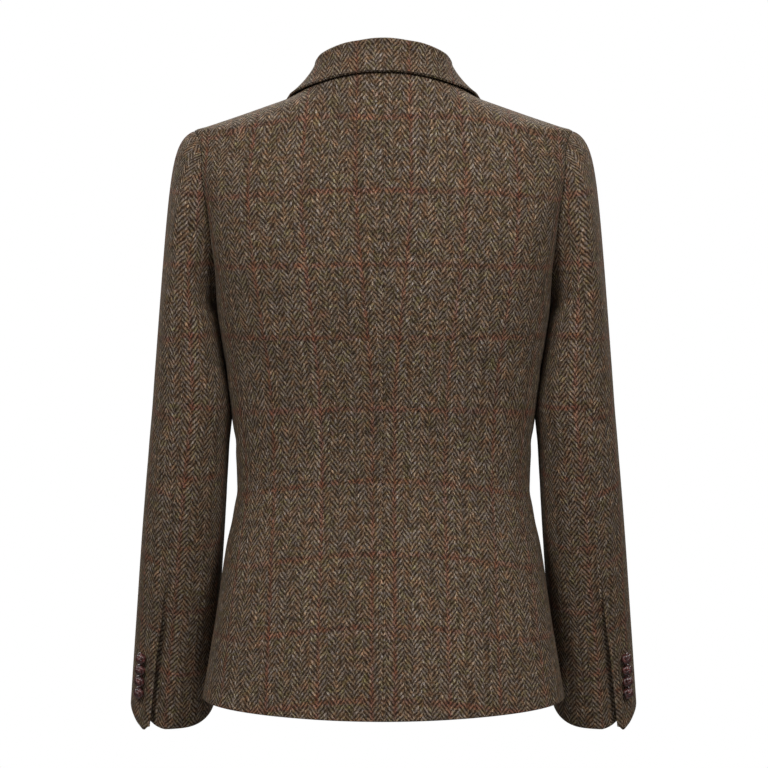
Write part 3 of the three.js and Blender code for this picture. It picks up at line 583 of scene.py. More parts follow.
def roll_place(level, side):
    """Places on the roll line: point, way out, way beyond the line, and distance from the centre."""
    angle = front_edge_angle(level)
    out = form_normal(level, angle)
    point = form_point(level, angle)
    up_line = unit(point - form_point(level - 1, front_edge_angle(level - 1)))
    beyond = unit(np.cross(up_line, out))
    beyond = np.where(beyond[..., :1] > 0, -beyond, beyond)
    return point + out * front_set(point[..., :1], side), out, beyond, point[..., 0]


def lapel_lift(w, side):
    if side == "right":
        return np.full(np.shape(w), LAPEL_LIFT["open"])
    return lerp(LAPEL_LIFT["overlap"], LAPEL_LIFT["open"], smoothstep(w, *LAPEL_LIFT_SPAN))


def over_front(w, z, side, lift):
    level, angle = front_at(w, z)
    out = form_normal(level, angle)
    return form_point(level, angle) + out * (front_set(w, side) + lift)[..., None], out


def lapel_edge(t):
    """The lapel's outer edge, seen from the front, from the break to the tip."""
    a, b, c = (1 - t) ** 2, 2 * t * (1 - t), t * t
    w = -OVERLAP * a + LAPEL_BOW[0] * b + LAPEL_TIP[0] * c
    return w, BREAK_Z * a + LAPEL_BOW[1] * b + LAPEL_TIP[1] * c


FOLD_STEPS = 8
LEAF_STEPS = 26


def lapel(side):
    low = BREAK_Z + LAPEL_START * (ROLL_TOP[2] - BREAK_Z)
    levels = between(low, NECK_LEVEL, CELL)
    place, out, beyond, w = roll_place(levels, side)
    z = place[..., 2]
    t = np.clip(roll_share(z), LAPEL_START, 1)
    t[-1] = 1
    edge_w, edge_z = lapel_edge(t)
    lift = lapel_lift(w, side)
    centre = place + out * ((lift - CLOTH) / 2)[:, None] + beyond * SEAM_GAP
    fold, fold_out = fold_arc(centre, out, beyond, (lift + CLOTH) / 2, FOLD_STEPS)
    shares = np.linspace(0, 1, LEAF_STEPS + 1)[1:]
    leaf_w = lerp(w[:, None], edge_w[:, None], shares)
    leaf_z = lerp(z[:, None], edge_z[:, None], shares)
    leaf, leaf_out = over_front(leaf_w, leaf_z, side, lapel_lift(leaf_w, side))
    edges = {"first": PLAIN_SEAM, "last": FREE_EDGE, "top": PLAIN_SEAM, "bottom": FREE_EDGE}
    return join(fold, leaf, axis=1), join(fold_out, leaf_out, axis=1), edges


STAND_STEPS = 6
COLLAR_STEP = 2.2  # degrees


def collar_half():
    """Half of the collar, from the centre back to its end: stand, fold and fall."""
    degrees = between(0, NECK_ANGLE, COLLAR_STEP)
    angle = np.radians(degrees)
    _, height, radius, lean, edge_level, edge_angle = read_collar(degrees)
    seam, normal = form_point(NECK_LEVEL, angle), form_normal(NECK_LEVEL, angle)
    beyond = roll_place(np.array([float(NECK_LEVEL)]), "left")[2][0]
    turned = smoothstep(degrees, COLLAR_TURNS_FROM, NECK_ANGLE)[:, None]
    rise = unit(lerp(np.array([0.0, 0.0, 1.0]), beyond, turned))
    away = lerp(unit(vec(np.sin(angle), np.cos(angle), 0)), normal, turned)
    away = unit(away - rise * dot(away, rise))
    open_lift = (LAPEL_LIFT["open"] - CLOTH) / 2
    out_by = lerp(radius - COLLAR_CLOTH, open_lift, turned[:, 0]) - lean
    centre = seam + rise * (height - radius)[:, None] + away * out_by[:, None]
    fold, fold_out = fold_arc(centre, away, rise, radius, FOLD_STEPS)

    foot = seam - away * COLLAR_CLOTH * (1 - turned) - normal * COLLAR_CLOTH * turned + rise * STAND_GAP
    top = fold[:, 0]
    reach = length(top - foot)[:, None] / 3
    handles = [p[:, None] for p in (foot, foot + rise * reach, top - rise * reach, top)]
    stand = bezier(*handles, np.linspace(0, 1, STAND_STEPS + 1)[:-1, None])
    stand_out = np.broadcast_to(-away[:, None], stand.shape)

    start = fold[:, -1]
    out = form_normal(edge_level, np.radians(edge_angle))
    edge = form_point(edge_level, np.radians(edge_angle)) + out * COLLAR_LIFT
    along = edge - start
    in_edge = unit(along - out * dot(along, out))
    span = length(along)[:, None]
    slack = 1 - FALL["tighter"] * smoothstep(degrees, FALL["from"], FALL["to"])[:, None]
    most = ((height - radius) * FALL["most"])[:, None]
    after_fold = start - rise * np.minimum(span * FALL["top"], most) * slack
    before_edge = edge - in_edge * span * FALL["edge"] * slack
    shares = np.linspace(0, 1, LEAF_STEPS + 1)[1:, None]
    fall = bezier(*[p[:, None] for p in (start, after_fold, before_edge, edge)], shares)
    fall_out = unit(lerp(away[:, None], out[:, None], smoothstep(shares, 0, FALL["turn"])))

    # The end goes down the gorge to the notch, then out to the collar's own tip.
    down = shares[:, 0]
    share = np.minimum(down / NOTCH_AT, 1) * NOTCH
    end_w, end_z = lerp(ROLL_TOP[0], LAPEL_TIP[0], share), lerp(ROLL_TOP[2], LAPEL_TIP[1], share)
    end, end_out = over_front(end_w, end_z, "right", np.full(end_w.shape, LAPEL_LIFT["open"]))
    past = np.clip((down - NOTCH_AT) / (1 - NOTCH_AT), 0, 1)[:, None]
    end = lerp(end, fall[-1, -1], past)
    # The last stations ease into that end.
    near = smoothstep(degrees, COLLAR_ENDS_FROM, NECK_ANGLE)[:, None, None] ** 2
    fall = fall + near * (end - fall[-1])
    fall_out = unit(lerp(fall_out, end_out[None], near))
    return join(stand, fold, fall, axis=1), join(stand_out, fold_out, fall_out, axis=1)


MIRROR = np.array([-1.0, 1.0, 1.0])


def collar(_side):
    points, normals = [join((grid[1:] * MIRROR)[::-1], grid) for grid in collar_half()]
    return points, normals, {"first": PLAIN_SEAM, "last": FREE_EDGE, "top": PLAIN_SEAM, "bottom": PLAIN_SEAM}


# How far the inner side of the sleeve may swell towards the body under the arm: z and the depth
UNDERARM_FOLD = [
    [-420, 0], [-385, 0.8], [-360, 3.4], [-340, 7.0], [-310, 9.0],
    [-270, 9.0], [-250, 7.0], [-238, 2.0], [-228, 0], [-50, 0],
]
UNDERARM_CLEAR = 0.9
UNDERARM_TURN = 1.5  # how soon the swelling is whole as the wall turns inwards
UNDERARM_RISE = 24  # how far above the side's straight part the body still widens
read_underarm = table_reader(UNDERARM_FOLD)


def home_angle(index):
    return 90 - np.degrees(TURNS[index])


HIND_HOME = float(home_angle(HIND_SEAM_POINT))
FORE_HOME = float(home_angle(FORE_SEAM_POINT)) + 360
read_hind_seam = table_reader(HIND_SEAM + [[SLEEVE_TOP, HIND_HOME]])
read_fore_seam = table_reader([[SLEEVE_TOP, FORE_HOME], [CUFF_ROW, FORE_SEAM_AT_CUFF]])


def sleeve_angles(z):
    """The angle of every column at a height: columns between two seams share out their space."""
    index = np.arange(len(TURNS))
    home = home_angle(index)
    hind, fore = read_hind_seam(z)[1][..., None], read_fore_seam(z)[1][..., None]
    upper = lerp(hind, fore, (home - HIND_HOME) / (FORE_HOME - HIND_HOME))
    wrapped = lerp(hind, fore, (home + 360 - HIND_HOME) / (FORE_HOME - HIND_HOME)) - 360
    under = lerp(hind, fore - 360, (home - HIND_HOME) / (FORE_HOME - 360 - HIND_HOME))
    return np.where(index <= HIND_SEAM_POINT, upper, np.where(index >= FORE_SEAM_POINT, wrapped, under))


def sleeve_point(z, degrees):
    _, x, y, half_width, half_depth, tilt = read_sleeve(z)
    angle = np.radians(degrees)
    along = half_depth * np.cos(angle)
    return vec(x + half_width * np.sin(angle), y + along, z - along * np.tan(np.radians(tilt)))


# The cuff's edge dips to the point of the lap and lifts beside it: angle, reach and height
CUFF_LINE = [(-5, 28, 3.2), (27, 7, 3.0), (38, 8, -2.6), (48, 15, -3.6)]

# Creases of the sleeve: depth, reach, and places (z, column round the armhole)
SLEEVE_CREASES = [
    (1.6, 9, [(-176, 24), (-190, 15), (-197, 6)]),
    (-1.0, 9, [(-214, 22), (-236, 14), (-252, 5)]),
    (1.8, 10, [(-258, 32), (-300, 23), (-338, 12)]),
    (2.1, 9, [(-326, 37), (-352, 25), (-374, 11)]),
    (1.7, 9, [(-402, 38), (-417, 26), (-425, 13)]),
    (1.3, 10, [(-468, 37), (-490, 25), (-506, 13)]),
    (1.0, 12, [(-545, 36), (-572, 27), (-590, 18)]),
    (2.4, 9, [(-378, 60), (-392, 75), (-398, 91)]),
    (3.0, 9, [(-408, 58), (-418, 74), (-420, 94)]),
    (2.6, 9, [(-436, 58), (-446, 74), (-456, 89)]),
    (1.8, 10, [(-470, 60), (-486, 76), (-501, 87)]),
    (1.4, 10, [(-298, 64), (-328, 78), (-346, 89)]),
    (1.6, 10, [(-196, 90), (-238, 82), (-276, 74)]),
    (1.0, 13, [(-360, 108), (-400, 102), (-452, 105)]),
]
VENT = {"from": 500, "to": 610, "proud": 2.0, "under": 8.0, "open": 1.4, "overlap": 9.0, "reach": 17.0}


def sleeve_normals(points):
    down = np.gradient(points, axis=0)
    around = np.roll(points, -1, axis=1) - np.roll(points, 1, axis=1)
    normals = unit(np.cross(down, around))
    normals[0] = ARMHOLE_SEAM["normal"]
    return normals


def against_body(points, normals):
    """Swells the sleeve's inner side under the arm until it lies along the body."""
    x, y, z = points[..., 0], points[..., 1], points[..., 2]
    wanted = x - read_underarm(z)[1] * np.clip(-UNDERARM_TURN * normals[..., 0], 0, 1)
    level = np.minimum(z, UNDERARM_LEVEL + UNDERARM_RISE)
    body_x = form_point(level, angle_at_y(level, y))[..., 0] + UNDERARM_CLEAR
    return vec(np.minimum(x, np.maximum(wanted, body_x)), y, z)


def sleeve_ring(z):
    return sleeve_point(np.full(len(TURNS), float(z)), sleeve_angles(np.array(float(z))))


CAP_ROWS = 40
CUFF_DIP = (606, 659)  # how far below the neck the cuff's line starts and is whole


def sleeve_round():
    """The whole sleeve as rows from the armhole to the cuff, one column to each point of the armhole."""
    start, end = on_armhole(np.arange(len(TURNS)), 1), sleeve_ring(SLEEVE_TOP)
    outward, reach, drop = cap_handles(TURNS)
    up_line = unit(end - sleeve_ring(SLEEVE_TOP - CELL))
    last = end + up_line * (drop * (start[:, 2] - end[:, 2]))[:, None]
    shares = np.linspace(0, 1, CAP_ROWS)[:, None, None]
    cap = bezier(start, start + outward * reach[:, None], last, end, shares)
    heights = between(SLEEVE_TOP, CUFF_ROW, CELL)[1:]
    angles = sleeve_angles(heights)
    tube = sleeve_point(np.broadcast_to(heights[:, None], angles.shape), angles)
    points = join(cap, tube)
    points = against_body(points, sleeve_normals(points))
    normals = sleeve_normals(points)
    at_cuff = sleeve_angles(np.array(float(CUFF_ROW)))
    dip = sum(high * np.exp(-(((at_cuff - centre) / wide) ** 2)) for centre, wide, high in CUFF_LINE)
    rows = join(np.full(len(cap), float(SLEEVE_TOP)), heights)
    points = points + vec(0.0, 0.0, smoothstep(-rows, *CUFF_DIP)[:, None] * dip)
    return points[::-1], normals[::-1]


def on_sleeve(z, column):
    line = SLEEVE_POINTS[:, column % len(TURNS)]
    return np.array([np.interp(z, line[:, 2], line[:, k]) for k in range(3)])


SLEEVE_POINTS, SLEEVE_NORMALS = sleeve_round()


def sleeve_piece(first, last):
    columns = np.arange(first, last + 1) % len(TURNS)
    edges = {"first": PLAIN_SEAM, "last": PLAIN_SEAM, "top": ARM_SEAM, "bottom": FREE_EDGE}
    points, normals = SLEEVE_POINTS[:, columns], SLEEVE_NORMALS[:, columns]
    for depth, reach, line in SLEEVE_CREASES:
        points, normals = sink(points, normals, [on_sleeve(*place) for place in line], depth, reach)
    return pull_at_armhole(points), normals, edges


def run_along(points, axis):
    """How far each point of a grid is along its column or its row."""
    steps = length(np.diff(points, axis=axis))
    return join(np.zeros_like(np.take(steps, [0], axis=axis)), np.cumsum(steps, axis=axis), axis=axis)


def near_vent(points, column, beside):
    """How near each point is to the vent, and the way across it."""
    widths = run_along(points, 1)
    far = np.abs(widths - widths[:, column : column + 1])[..., None]
    share = smoothstep(-points[..., 2:], VENT["from"], VENT["to"]) * (1 - smoothstep(far, 0, VENT["reach"]))
    return share, unit(points[:, column] - points[:, beside])[:, None]


def sleeve_upper(_side):
    points, normals, edges = sleeve_piece(FORE_SEAM_POINT, len(TURNS) + HIND_SEAM_POINT)
    near, over = near_vent(points, points.shape[1] - 1, -2)
    points = points + normals * near * VENT["proud"] - over * near * VENT["open"]
    return points, normals, {**edges, "last": HIND_SEAM_EDGE}


def sleeve_under(_side):
    points, normals, edges = sleeve_piece(HIND_SEAM_POINT, FORE_SEAM_POINT)
    near, over = near_vent(points, 0, 1)
    points = points - normals * near * VENT["under"] + over * near * VENT["overlap"]
    return points, normals, {**edges, "first": HIND_SEAM_EDGE}


def border_of(rows, cols):
    """Grid indices of the border, in order round it."""
    grid = np.arange(rows * cols).reshape(rows, cols)
    return join(grid[0, :-1], grid[:-1, -1], grid[-1, :0:-1], grid[:0:-1, 0])


def strips_between(loops):
    """Faces, or the corners of faces, between each loop and the next."""
    pairs = zip(loops, loops[1:])
    return [np.stack([a, b, np.roll(b, -1, axis=0), np.roll(a, -1, axis=0)], axis=1) for a, b in pairs]


def link(name, data):
    made = bpy.data.objects.new(name, data)
    bpy.context.scene.collection.objects.link(made)
    return made


def add_mesh(name, vertices, faces, material, maps=()):
    """A smooth object from points in mm."""
    mesh = bpy.data.meshes.new(name)
    mesh.from_pydata((vertices * MM).tolist(), [], faces.tolist())
    for layer, values in maps:
        mesh.uv_layers.new(name=layer).data.foreach_set("uv", values.reshape(-1).astype(np.float32))
    mesh.polygons.foreach_set("use_smooth", np.ones(len(faces), bool))
    mesh.update()
    mesh.validate()
    mesh.materials.append(material)
    return link(name, mesh)


# Steps round the edge of a panel, from its outer face to its inner: how far in and how deep, in edge
# radii, and the share of the thickness that comes on top
EDGE_PROFILE = [[0.29, 0.29, 0], [0, 0, 0.5], [0.29, -0.29, 1]]
# The map with nothing overlapping: its margin, the width of the outer face, and of a step of its frame
MAP_MARGIN, MAP_OUTER, MAP_STEP = 0.015, 0.62, 0.0025


def flat_map(rows, cols, border, quads):
    """Corners of the faces in a map: the outer face in a frame of its edge, the inner face beside it."""
    v, u = np.meshgrid(np.linspace(0, 1, rows), np.linspace(0, 1, cols), indexing="ij")
    flat = np.stack([u, v], axis=-1).reshape(-1, 2)
    tall = 1 - 2 * MAP_MARGIN
    outer = MAP_MARGIN + flat * [MAP_OUTER, tall]
    inner = np.array([MAP_OUTER + 4 * MAP_MARGIN, MAP_MARGIN]) + flat * [1 - MAP_OUTER - 6 * MAP_MARGIN, tall]
    centre = np.array([MAP_MARGIN + MAP_OUTER / 2, 0.5])
    away = (outer[border] - centre) / [MAP_OUTER / 2, 0.5 - MAP_MARGIN]
    away = np.where(np.abs(away) > 1 - 1e-6, np.sign(away), 0)
    frames = [outer[border] + away * k * MAP_STEP for k in range(len(EDGE_PROFILE) + 2)]
    return join(outer[quads], inner[quads[:, ::-1]], *strips_between(frames))


def shell_object(name, points, normals, cloth_uv, thickness, edges, material):
    """A thin shell with rounded edges, from its outer face and where its threads run, in mm."""
    rows, cols = points.shape[:2]
    radii = {edge: np.reshape(share, (-1, 1)) * thickness / 2 for edge, share in edges.items()}
    inward = draw_in(points, radii)
    outer = (points + inward).reshape(-1, 3)
    out = unit(normals).reshape(-1, 3)
    border = border_of(rows, cols)
    inward = inward.reshape(-1, 3)[border]
    radius = length(inward)[:, None]
    start, down = outer[border], out[border]
    rims = [
        start - inward * (1 - far) - down * (radius * deep + thickness * share)
        for far, deep, share in EDGE_PROFILE
    ]
    vertices = join(outer, outer - out * thickness, *rims)

    count, size = rows * cols, len(border)
    index = np.arange(count).reshape(rows, cols)
    quads = np.stack([index[:-1, :-1], index[:-1, 1:], index[1:, 1:], index[1:, :-1]], axis=-1).reshape(-1, 4)
    rim_loops = [2 * count + k * size + np.arange(size) for k in range(len(rims))]
    faces = join(quads, count + quads[:, ::-1], *strips_between([border, *rim_loops, count + border]))

    # The threads of the inner face and the edge go on from the outer face.
    uv = cloth_uv.reshape(-1, 2)
    threads = join(uv, uv, *([uv[border]] * len(rims)))[faces] * MM
    maps = (("Threads", threads), ("OFBake", flat_map(rows, cols, border, quads)))
    return add_mesh(name, vertices, faces, material, maps)


# Where the threads run: u goes across the cloth and v down it, in mm.
CHECK_U, CHECK_V = 52.8, 72.5  # the overcheck's repeat
CHECK_V_AT = 50.0  # its first line below the neck
WAIST_Z = -415
SOLVE_ROUNDS = 260
WEIGHT_LIMITS = (0.05, 20)
BACK_TAKE_IN = 15.5  # what the centre back seam takes in from each back at the waist
SEAM_TAKE_IN_FROM, SEAM_TAKE_IN_TO = -100, -350


def even_out(field, fixed, across_step, down_step, weights):
    """Fits a field to wanted steps between neighbours, but in its fixed cells, by conjugate gradients."""
    wide, tall = weights

    def pull(horizontal, vertical):
        total = np.zeros(field.shape)
        total[:, 1:] += horizontal
        total[:, :-1] -= horizontal
        total[1:] += vertical
        total[:-1] -= vertical
        total[fixed] = 0
        return total

    def steps_of(f):
        return wide * np.diff(f, axis=1), tall * np.diff(f, axis=0)

    found = field.copy()
    residual = pull(wide * across_step, tall * down_step) - pull(*steps_of(found))
    scale = np.ones(field.shape) * 1e-9
    scale[:, 1:] += wide
    scale[:, :-1] += wide
    scale[1:] += tall
    scale[:-1] += tall
    search = residual / scale
    size = np.sum(residual * search)
    for _ in range(SOLVE_ROUNDS):
        pulled = pull(*steps_of(search))
        share = size / max(np.sum(search * pulled), 1e-30)
        found += share * search
        residual -= share * pulled
        ready = residual / scale
        size, before = np.sum(residual * ready), size
        search = ready + size / max(before, 1e-30) * search
    return found


def step_weights(steps, beside):
    """How much each step across counts: the mean of the steps down beside it, over its own length."""
    padded = np.pad(beside, ((1, 1), (0, 0)), mode="edge")
    return np.clip(((padded[1:] + padded[:-1]) / 2)[:, 1:] / np.maximum(steps, 1e-6), *WEIGHT_LIMITS)


def thread_map(points, normals, grain, column, u_at, v_at):
    """Cloth coordinates of a panel, from one of its columns. grain is the way up the cloth."""
    up = unit(grain - normals * dot(grain, normals))
    across = np.cross(up, normals)
    if np.mean(dot(np.diff(points, axis=1), across[:, 1:])) < 0:
        across = -across

    def step(a, b):
        move = points[b] - points[a]
        return dot(move, across[a] + across[b])[..., 0] / 2, -dot(move, up[a] + up[b])[..., 0] / 2

    every = slice(None)
    wanted_across = step((every, slice(None, -1)), (every, slice(1, None)))
    wanted_down = step((slice(None, -1), every), (slice(1, None), every))
    wide, tall = length(np.diff(points, axis=1)), length(np.diff(points, axis=0))
    weights = [step_weights(wide, tall), step_weights(tall.T, wide.T).T]
    fixed = np.zeros(points.shape[:2], bool)
    fixed[:, column] = True
    waist = int(np.argmin(np.abs(points[:, column, 2] - WAIST_Z)))
    found = []
    for part, at in ((0, u_at), (1, v_at)):
        along = join([0], np.cumsum(wanted_down[part][:, column]))
        rows = join(np.zeros((len(points), 1)), np.cumsum(wanted_across[part], axis=1), axis=1)
        field = rows - rows[:, column : column + 1] + along[:, None]
        field = even_out(field, fixed, wanted_across[part], wanted_down[part], weights)
        found.append(field - field[waist, column] + at)
    return np.stack(found, axis=-1)


SLOPES_FROM, SLOPES_TO = 0.25, 0.6  # how far a normal looks up where the grain turns with the shoulder


def body_grain(normals):
    """Upright on the steep parts of the body, and in planes square to the shoulders on its slopes."""
    upright = np.broadcast_to(np.array([0.0, 0.0, 1.0]), normals.shape)
    plane = unit(np.cross(np.broadcast_to(np.array([1.0, 0.0, 0.0]), normals.shape), normals))
    plane = np.where(plane[..., 2:] < 0, -plane, plane)
    return unit(lerp(upright, plane, smoothstep(normals[..., 2:], SLOPES_FROM, SLOPES_TO)))


# How far the check's rows sink towards the sides, over which heights below the neck, and how wide
DROOP = {"depth": 16, "from": 300, "to": 410, "wide": 130, "most": 1.1}


def droop(points):
    near_side = np.minimum(np.abs(points[..., 0]) / DROOP["wide"], DROOP["most"]) ** 2
    return DROOP["depth"] * smoothstep(-points[..., 2], DROOP["from"], DROOP["to"]) * near_side


NECK_TO_WAIST = 418.0  # along the centre back
SIDE_FROM_CENTRE = 145.0  # along the cloth at the waist, from the centre back to the side-back seam
LAPEL_FROM_CENTRE = 300.0
LAPEL_SET = 90
COLLAR_SET = 30.0  # how far it is set back on the collar
SLEEVE_REPEATS = 4.5  # of the check, from its start to the middle of a sleeve piece


def body_threads(points, normals, column, u_at):
    uv = thread_map(points, normals, body_grain(normals), column, u_at, NECK_TO_WAIST)
    uv[..., 1] -= droop(points)
    return uv


def back_threads(points, normals):
    uv = body_threads(points, normals, 0, BACK_TAKE_IN)
    taken = BACK_TAKE_IN * smoothstep(-points[:, 0, 2], -SEAM_TAKE_IN_FROM, -SEAM_TAKE_IN_TO)
    uv[..., 0] += (taken - BACK_TAKE_IN)[:, None]
    return uv


def side_threads(points, normals):
    return body_threads(points, normals, 0, SIDE_FROM_CENTRE)


def front_threads(points, normals):
    uv = body_threads(points, normals, points.shape[1] - 1, 0.0)
    uv[..., 0] = OVERLAP - uv[..., 0]
    return uv


def lapel_threads(points, normals):
    grain = np.broadcast_to(unit(points[-1, -1] - points[0, -1]), points.shape)
    uv = thread_map(points, normals, grain, points.shape[1] - 1, LAPEL_FROM_CENTRE, 0.0)
    uv[..., 1] += NECK_TO_WAIST - LAPEL_SET
    return uv


def collar_threads(points, _normals):
    u, v = run_along(points, 0), run_along(points, 1)
    return np.stack([u - u[len(points) // 2], v + COLLAR_SET], axis=-1)


# The grain of the sleeve's head: over which slope of the normal it leans in, how far in and down, and over
# which heights it takes over from the way along the sleeve
HEAD_GRAIN = {"slope": (0.1, 0.7), "in": 0.8, "down": 0.4, "heights": (-330, -235)}


def sleeve_threads(points, normals):
    along = unit(np.gradient(points, axis=0))
    over = smoothstep(normals[..., 2], *HEAD_GRAIN["slope"])
    upright = vec(-HEAD_GRAIN["in"] * over, 0.0, 1 - HEAD_GRAIN["down"] * over)
    grain = unit(lerp(along, upright, smoothstep(points[..., 2:], *HEAD_GRAIN["heights"])))
    return thread_map(points, normals, grain, points.shape[1] // 2, CHECK_U * SLEEVE_REPEATS, NECK_TO_WAIST)


class Graph:
    """Short calls for building a material's nodes."""

    def __init__(self, name):
        self.material = bpy.data.materials.new(name)
        self.material.use_nodes = True
        self.tree = self.material.node_tree
        self.shader = next(n for n in self.tree.nodes if n.type == "BSDF_PRINCIPLED")

    def node(self, kind, inputs=(), **settings):
        made = self.tree.nodes.new(kind)
        for key, value in settings.items():
            setattr(made, key, value)
        for key, value in dict(inputs).items():
            self.feed(made.inputs[key], value)
        return made

    def feed(self, socket, value):
        if isinstance(value, bpy.types.NodeSocket):
            self.tree.links.new(value, socket)
        else:
            socket.default_value = value

    def math(self, operation, a, b=0.0, c=0.0):
        return self.node("ShaderNodeMath", {0: a, 1: b, 2: c}, operation=operation).outputs[0]

    def times(self, a, b):
        return self.math("MULTIPLY", a, b)

    def plus(self, a, b):
        return self.math("ADD", a, b)

    def span(self, value, reach, start):
        return self.math("MULTIPLY_ADD", value, reach, start)

    def vector_math(self, operation, a, b):
        return self.node("ShaderNodeVectorMath", {0: a, 1: b}, operation=operation).outputs[0]

    def ease(self, value, low, high):
        made = self.node("ShaderNodeMapRange", {0: value, 1: low, 2: high}, interpolation_type="SMOOTHSTEP")
        return made.outputs[0]

    def mix(self, share, a, b, blend="MIX"):
        made = self.node("ShaderNodeMix", data_type="RGBA", blend_type=blend)
        for socket, value in zip((made.inputs[0], made.inputs[6], made.inputs[7]), (share, a, b)):
            self.feed(socket, value)
        return made.outputs[2]

    def vector(self, x, y, z=0.0):
        return self.node("ShaderNodeCombineXYZ", {0: x, 1: y, 2: z}).outputs[0]

    def noise(self, at, scale, detail=2.0, rough=0.5):
        inputs = {"Vector": at, "Scale": scale, "Detail": detail, "Roughness": rough}
        return self.node("ShaderNodeTexNoise", inputs)

    def ramp(self, value, stops):
        made = self.node("ShaderNodeValToRGB", {0: value})
        elements = made.color_ramp.elements
        while len(elements) < len(stops):
            elements.new(0.5)
        for element, (place, color) in zip(elements, stops):
            element.position, element.color = place, color
        return made.outputs[0]

    def bump(self, height, strength, distance):
        inputs = {"Height": height, "Strength": strength, "Distance": distance}
        return self.node("ShaderNodeBump", inputs).outputs[0]

    def finish(self, looks):
        """Sets the shader's sockets and gives the material."""
        for socket, value in looks.items():
            self.feed(self.shader.inputs[socket], value)
        return self.material


def srgb(red, green, blue):
    """A colour given as it looks on a screen, from 0 to 255."""
    def line(c):
        c = c / 255
        return c / 12.92 if c <= 0.04045 else ((c + 0.055) / 1.055) ** 2.4

    return (line(red), line(green), line(blue), 1.0)


STRIPE = 8.8  # width of a herringbone stripe
ENDS = 8  # warp threads in a stripe
END = STRIPE / ENDS
PICK = 1.41  # height of one weft thread
PITCH = 4 * PICK  # height of one twill line: over two, under two
STEEP = -PICK / END  # how far a twill line falls across its width, going out from the centre back

# How the threads sway in the cloth: the size and roughness of the noise, and how far it moves them
SWAYS = [(0.12, 0.5, (2.4, 3.0, 0.0)), (0.42, 0.6, (1.6, 2.6, 0.0))]
THREAD_IN_LINE = 0.55  # how much of a thread's float lies in line with its twill line
LOOSE, LUMPY = 4.6, 2.0  # how far loose fibres and thick places blur the twill line
SHOWS = (-0.9, 1.15)
# The overcheck's lines in mm: the first and the repeat, how far they reach and are whole, and how strong
WARP_LINE = {"first": CHECK_U / 2 + 0.4, "repeat": CHECK_U, "edge": 3.1, "full": 0.8, "share": 0.5}
WEFT_LINE = {"first": CHECK_V_AT, "repeat": CHECK_V, "edge": 4.2, "full": 1.0, "share": 0.46}
RUST = (srgb(42, 18, 12), srgb(114, 58, 41))  # between the twill lines and on them
RUST_PATCHES = (0.36, 0.6)
LIGHT_YARN = [
    (0.2, srgb(70, 56, 42)), (0.36, srgb(92, 77, 61)), (0.48, srgb(110, 95, 79)),
    (0.56, srgb(98, 85, 71)), (0.66, srgb(118, 102, 85)), (0.84, srgb(152, 138, 120)),
]
DARK_YARN = [
    (0.3, srgb(28, 17, 8)), (0.5, srgb(44, 30, 18)), (0.62, srgb(58, 43, 27)), (0.75, srgb(39, 28, 17)),
]
HEATHER = [
    (0.28, (0.92, 1.0, 0.78, 1.0)), (0.4, (0.98, 1.01, 0.86, 1.0)), (0.47, (0.95, 1.0, 1.18, 1.0)),
    (0.53, (1.0, 1.0, 0.98, 1.0)), (0.6, (1.11, 0.98, 0.86, 1.0)), (0.72, (1.12, 0.96, 1.08, 1.0)),
]
FLECKS = [
    (11.0, 0.69, srgb(118, 68, 46)), (23.0, 0.69, srgb(84, 80, 50)), (37.0, 0.69, srgb(80, 84, 94)),
    (51.0, 0.71, srgb(112, 76, 76)), (67.0, 0.7, srgb(170, 158, 136)),
]


def twill(g, u, v):
    """How many twill lines lie below each place, and the wave from the weft's lines to the warp's."""
    across = g.math("DIVIDE", u, STRIPE)
    stripe = g.math("FLOOR", across)
    odd = g.math("FLOORED_MODULO", stripe, 2.0)
    in_stripe = g.times(g.math("SUBTRACT", across, stripe), STRIPE)
    end_turn = g.math("DIVIDE", in_stripe, END)
    end_middle = g.times(g.plus(g.math("FLOOR", end_turn), 0.5), END)
    # Each thread floats a little in line with its twill line, and steps to the next.
    slant = g.plus(g.times(in_stripe, THREAD_IN_LINE), g.times(end_middle, 1 - THREAD_IN_LINE))
    rise = g.times(g.times(slant, g.span(odd, -2.0, 1.0)), STEEP)
    phase = g.span(odd, 0.5, g.math("DIVIDE", g.plus(v, rise), PITCH))
    return phase, g.math("SINE", g.times(phase, TAU))


def check_line(g, value, line, patches):
    """How strongly a line of the overcheck shows."""
    repeat = line["repeat"]
    turn = g.math("DIVIDE", g.math("SUBTRACT", value, line["first"] - repeat / 2), repeat)
    away = g.times(g.math("ABSOLUTE", g.math("SUBTRACT", g.math("FRACT", turn), 0.5)), repeat)
    there = g.span(g.ease(patches, *RUST_PATCHES), line["share"] * 0.7, line["share"] * 0.3)
    return g.times(g.ease(away, line["edge"], line["full"]), there)


